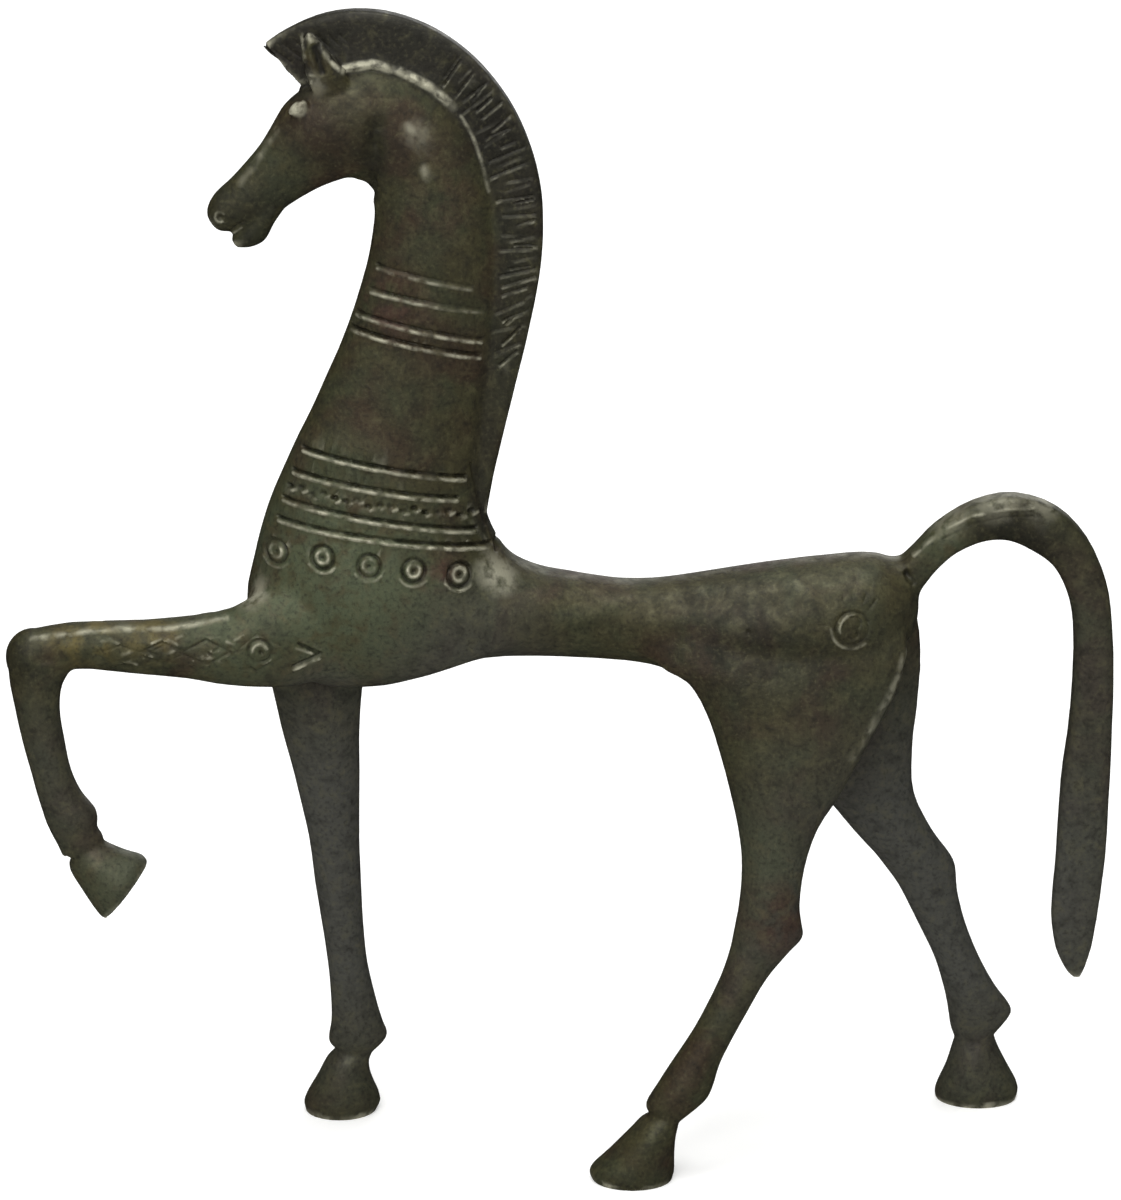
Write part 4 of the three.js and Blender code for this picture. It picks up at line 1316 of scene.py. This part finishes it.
@dataclass
class WearAndPaintedLight:
    """Where the patina is worn, stained, green, red, greyish or bare, and where light and shade are
    painted.
    """

    mane: Mane
    zones: Sequence[Zone] = (
        Zone("moss", (-34, -10, 96), 15, 0.9),
        Zone("moss", (-48, -10, 87), 8, 0.7),
        Zone("moss", (-33, -6, 108), 9, 0.5),
        Zone("moss", (-45, -4, 157), 7, 0.3),
        Zone("moss", (-68, -11, 48), 7, 0.5),
        Zone("moss", (31, -14, 52), 6, 0.35),
        Zone("moss", (58, -3, 99), 5, 0.5),
        Zone("copper", (-25, -5, 137), 6, 0.8),
        Zone("copper", (-18.5, -9, 97), 3, 0.9),
        Zone("copper", (34, -12, 43), 6, 0.7),
        Zone("copper", (-17, -5, 152), 5, 0.5),
        Zone("copper", (22, -6, 84), 7, 0.5),
        Zone("brass", (-71, -13, 87.5), 5, 1.0),
        Zone("brass", (-61, -12, 87.5), 4, 0.8),
        # Grey on the far legs, the raised shank, the tail and the belly; on the belly and far legs also
        # painted light.
        Zone("grey", (-35, 8, 42), 34, 0.95),
        Zone("grey", (60, 12, 40), 36, 1.0),
        Zone("grey", (-72, -10, 66), 14, 0.4),
        Zone("grey", (82, 0, 60), 36, 0.4),
        Zone("grey", (-36, -6, 77), 7, 0.6),
        Zone("grey", (-15, -5, 80), 14, 0.6),
        # Darker patches: at the cheek's back edge and under the tail's arch they are painted shade,
        # elsewhere a darker tone.
        Zone("dark", (-47, -4, 152), 8, 0.4),
        Zone("dark", (-35, -5, 162), 6, 0.25),
        Zone("dark", (-27, -5, 160), 4, 0.35),
        Zone("dark", (-81, -12, 84), 4, 0.4),
        Zone("dark", (27, -9, 86), 10, 0.5),
        Zone("dark", (38, -10, 82), 7, 0.3),
        Zone("dark", (69, -3, 100), 7, 0.65),
        Zone("dark", (-10, -3, 163), 7, 0.35),
        # Pale patches: worn on the neck's bosses; painted highlights at the shoulder, withers, eye, brow
        # and tail's arch.
        Zone("edge", (-46.6, -7, 93.4), 2.6, 0.6),
        Zone("edge", (-8.5, -8, 97), 3.6, 0.8),
        Zone("edge", (-38.1, -4.8, 166.2), 1.35, 1.0),
        Zone("edge", (-20.6, -5, 162.4), 2.2, 0.2),
        Zone("edge", (-36, -4, 169.5), 2.0, 0.3),
        Zone("edge", (58.5, -1, 103.5), 3.5, 0.25),
        Zone("edge", (66, 0, 106.4), 4, 0.3),
        Zone("edge", (73, -1, 105.6), 3, 0.3),
    )
    # A zone is full within half its radius and gone at a third beyond it.
    zone_stretch: tuple[float, float, float] = (1, 0.8, 1)
    zone_full: float = 1.6
    zone_fall: float = 1.2
    mane_colour: float = 0.9
    bend_rounds: int = 3
    # From which bend an edge is painted pale (wear and painted highlight), over what span and how much at
    # most, then burrs (painted highlights), cuts (dark wash) and creases (painted shade).
    pale_edge_from: float = 0.4
    pale_edge_span: float = 1.1
    pale_edge_most: float = 0.7
    full_burr: float = 0.3
    burr_most: float = 0.85
    full_cut: float = 0.5
    cut_dirt: float = 0.5
    crease_from: float = 0.3
    crease_span: float = 1.2
    crease_most: float = 0.6

    def dress(self, horse: bpy.types.Object, marks: Sequence[Mark]) -> None:
        """Paints the wear, the patches, the painted highlights and the painted shade on the finished skin.

        Args:
            horse: The finished figure.
            marks: The ornament, whose cuts hold the dark wash and whose burrs are painted pale as
                highlights.
        """
        points = drawing_points(horse)
        painted = {name: np.zeros(len(points)) for name in sorted({zone.attribute for zone in self.zones})}
        for zone in self.zones:
            away = np.linalg.norm((points - zone.centre) * self.zone_stretch, axis=1) / zone.radius
            spot = zone.strength * np.clip(self.zone_full - self.zone_fall * away, 0, 1)
            painted[zone.attribute] = np.maximum(painted[zone.attribute], spot)
        bend, depth = bend_of(horse, self.bend_rounds), cut_depths(points, marks)
        cuts = np.clip(depth / self.full_cut, 0, 1)
        # Convex edges painted pale: partly wear, partly painted highlight.
        edges = np.clip((bend - self.pale_edge_from) / self.pale_edge_span, 0, self.pale_edge_most)
        # Burrs painted pale: a painted highlight for the light on each groove's lower wall.
        burrs = np.clip(-depth / self.full_burr, 0, self.burr_most)
        # Concave creases painted dark: painted shade.
        creases = np.clip((-bend - self.crease_from) / self.crease_span, 0, self.crease_most)
        painted["edge"] = np.maximum(painted["edge"], np.maximum(edges, burrs)) * (1 - cuts)
        painted["hollow"] = np.maximum(self.cut_dirt * cuts, creases)
        painted["mane"] = self.mane_colour * self.mane.cover(points)
        for name, value in painted.items():
            paint(horse, name, value)


@dataclass
class Studio:
    """The plain pale floor, the soft lights and the camera of the photograph."""

    # The target, lens and sensor are in mm, the distance in metres, and a light is place, size and watts.
    target: tuple[float, float, float] = (0.0, 0.0, 90.0)
    distance: float = 0.6
    elevation: float = 18.0
    lens: float = 118.0
    sensor: float = 36.0
    shift: tuple[float, float] = (0.0009, -0.0022)
    board: str = "#e9e9e7"
    board_size: float = 8.0
    floor_glow: float = 0.36
    room_glow: float = 0.46
    lights: Sequence[tuple[str, tuple[float, float, float], float, float]] = (
        ("key_softbox", (-0.25, -1.0, 0.8), 0.6, 7),
        ("top_softbox", (0.0, -0.1, 1.4), 0.6, 10.5),
        ("back_softbox", (0.3, 1.2, 0.6), 0.8, 5),
    )

    def build_camera(self) -> None:
        """Sets the camera as the photograph was taken: from the figure's left and a little above."""
        rise = math.radians(self.elevation)
        target = place(*self.target)
        back = Vector((0, -math.cos(rise), math.sin(rise)))
        deselect()
        bpy.ops.object.camera_add(location=target + back * self.distance)
        camera = bpy.context.object
        camera.name = "camera"
        camera.rotation_mode = "QUATERNION"
        camera.rotation_quaternion = (-back).to_track_quat("-Z", "Y")
        camera.data.lens = self.lens
        camera.data.sensor_width = self.sensor
        camera.data.shift_x, camera.data.shift_y = self.shift
        camera.data.clip_start = 0.01
        bpy.context.scene.camera = camera

    def build_floor(self) -> None:
        """Lays a large sheet of white board under the figure."""
        deselect()
        bpy.ops.mesh.primitive_plane_add(size=self.board_size, location=(0, 0, 0))
        floor = bpy.context.object
        floor.name = "floor"
        material = bpy.data.materials.new("matt_white_board")
        material.use_nodes = True
        shader = next(n for n in material.node_tree.nodes if n.type == "BSDF_PRINCIPLED")
        shader.inputs["Base Color"].default_value = linear(self.board)
        shader.inputs["Roughness"].default_value = 0.9
        shader.inputs["Emission Color"].default_value = linear("#ffffff")
        shader.inputs["Emission Strength"].default_value = self.floor_glow
        floor.data.materials.append(material)
        floor.visible_glossy = False
        floor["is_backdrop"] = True

    def build_light(self, name: str, spot: tuple[float, float, float], size: float, power: float) -> None:
        """Hangs one soft box that faces the figure.

        Args:
            name: The light's name.
            spot: Its place, in metres.
            size: The side of its panel, in metres.
            power: Its power, in watts.
        """
        deselect()
        bpy.ops.object.light_add(type="AREA", location=spot)
        lamp = bpy.context.object
        lamp.name = name
        lamp.data.size = size
        lamp.data.energy = power
        lamp.rotation_mode = "QUATERNION"
        lamp.rotation_quaternion = (place(*self.target) - Vector(spot)).to_track_quat("-Z", "Y")

    def build(self) -> None:
        """Builds the floor, the lights, the sky and the camera."""
        self.build_floor()
        for light in self.lights:
            self.build_light(*light)
        world = bpy.data.worlds.new("studio_room")
        world.use_nodes = True
        sky = next(n for n in world.node_tree.nodes if n.type == "BACKGROUND")
        sky.inputs["Color"].default_value = linear("#ffffff")
        sky.inputs["Strength"].default_value = self.room_glow
        world.cycles_visibility.glossy = False
        bpy.context.scene.world = world
        bpy.context.scene.view_settings.view_transform = "Standard"
        self.build_camera()


def save_sizes() -> None:
    boxes = {"cad": CAD_BOX, "visual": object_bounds()}
    plain = {name: [list(corner) for corner in box] for name, box in boxes.items()}


def main() -> None:
    """Builds the studio and the bronze, and puts the bronze in the CAD solid's place."""
    logging.basicConfig(level=logging.INFO, format="%(name)s: %(message)s")
    Studio().build()
    LOG.info("studio built")
    mane, head, legs, tail, casting = Mane(), Head(), Legs(), Tail(), Casting()
    core = casting.fuse_core([Trunk().build(), head.build_skull(), *legs.build_roots(), *tail.build_root()])
    LOG.info("core fused: %d faces", len(core.data.polygons))
    horse = casting.fuse_all([core, mane.build(), *head.build_features(), *legs.build(), tail.build()])
    LOG.info("features fused: %d faces", len(horse.data.polygons))
    casting.work_over(horse)
    marks = Ornament(mane).marks()
    casting.engrave(horse, marks)
    casting.grind_soles(horse)
    LOG.info("ornament cut: %d marks, %d faces", len(marks), len(horse.data.polygons))
    WearAndPaintedLight(mane).dress(horse, marks)
    horse.data.materials.clear()
    horse.data.materials.append(BronzePatina().build())
    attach(horse, "root")
    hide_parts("horse")
    save_sizes()
    LOG.info("figure finished")


if __name__ == "__main__":
    main()
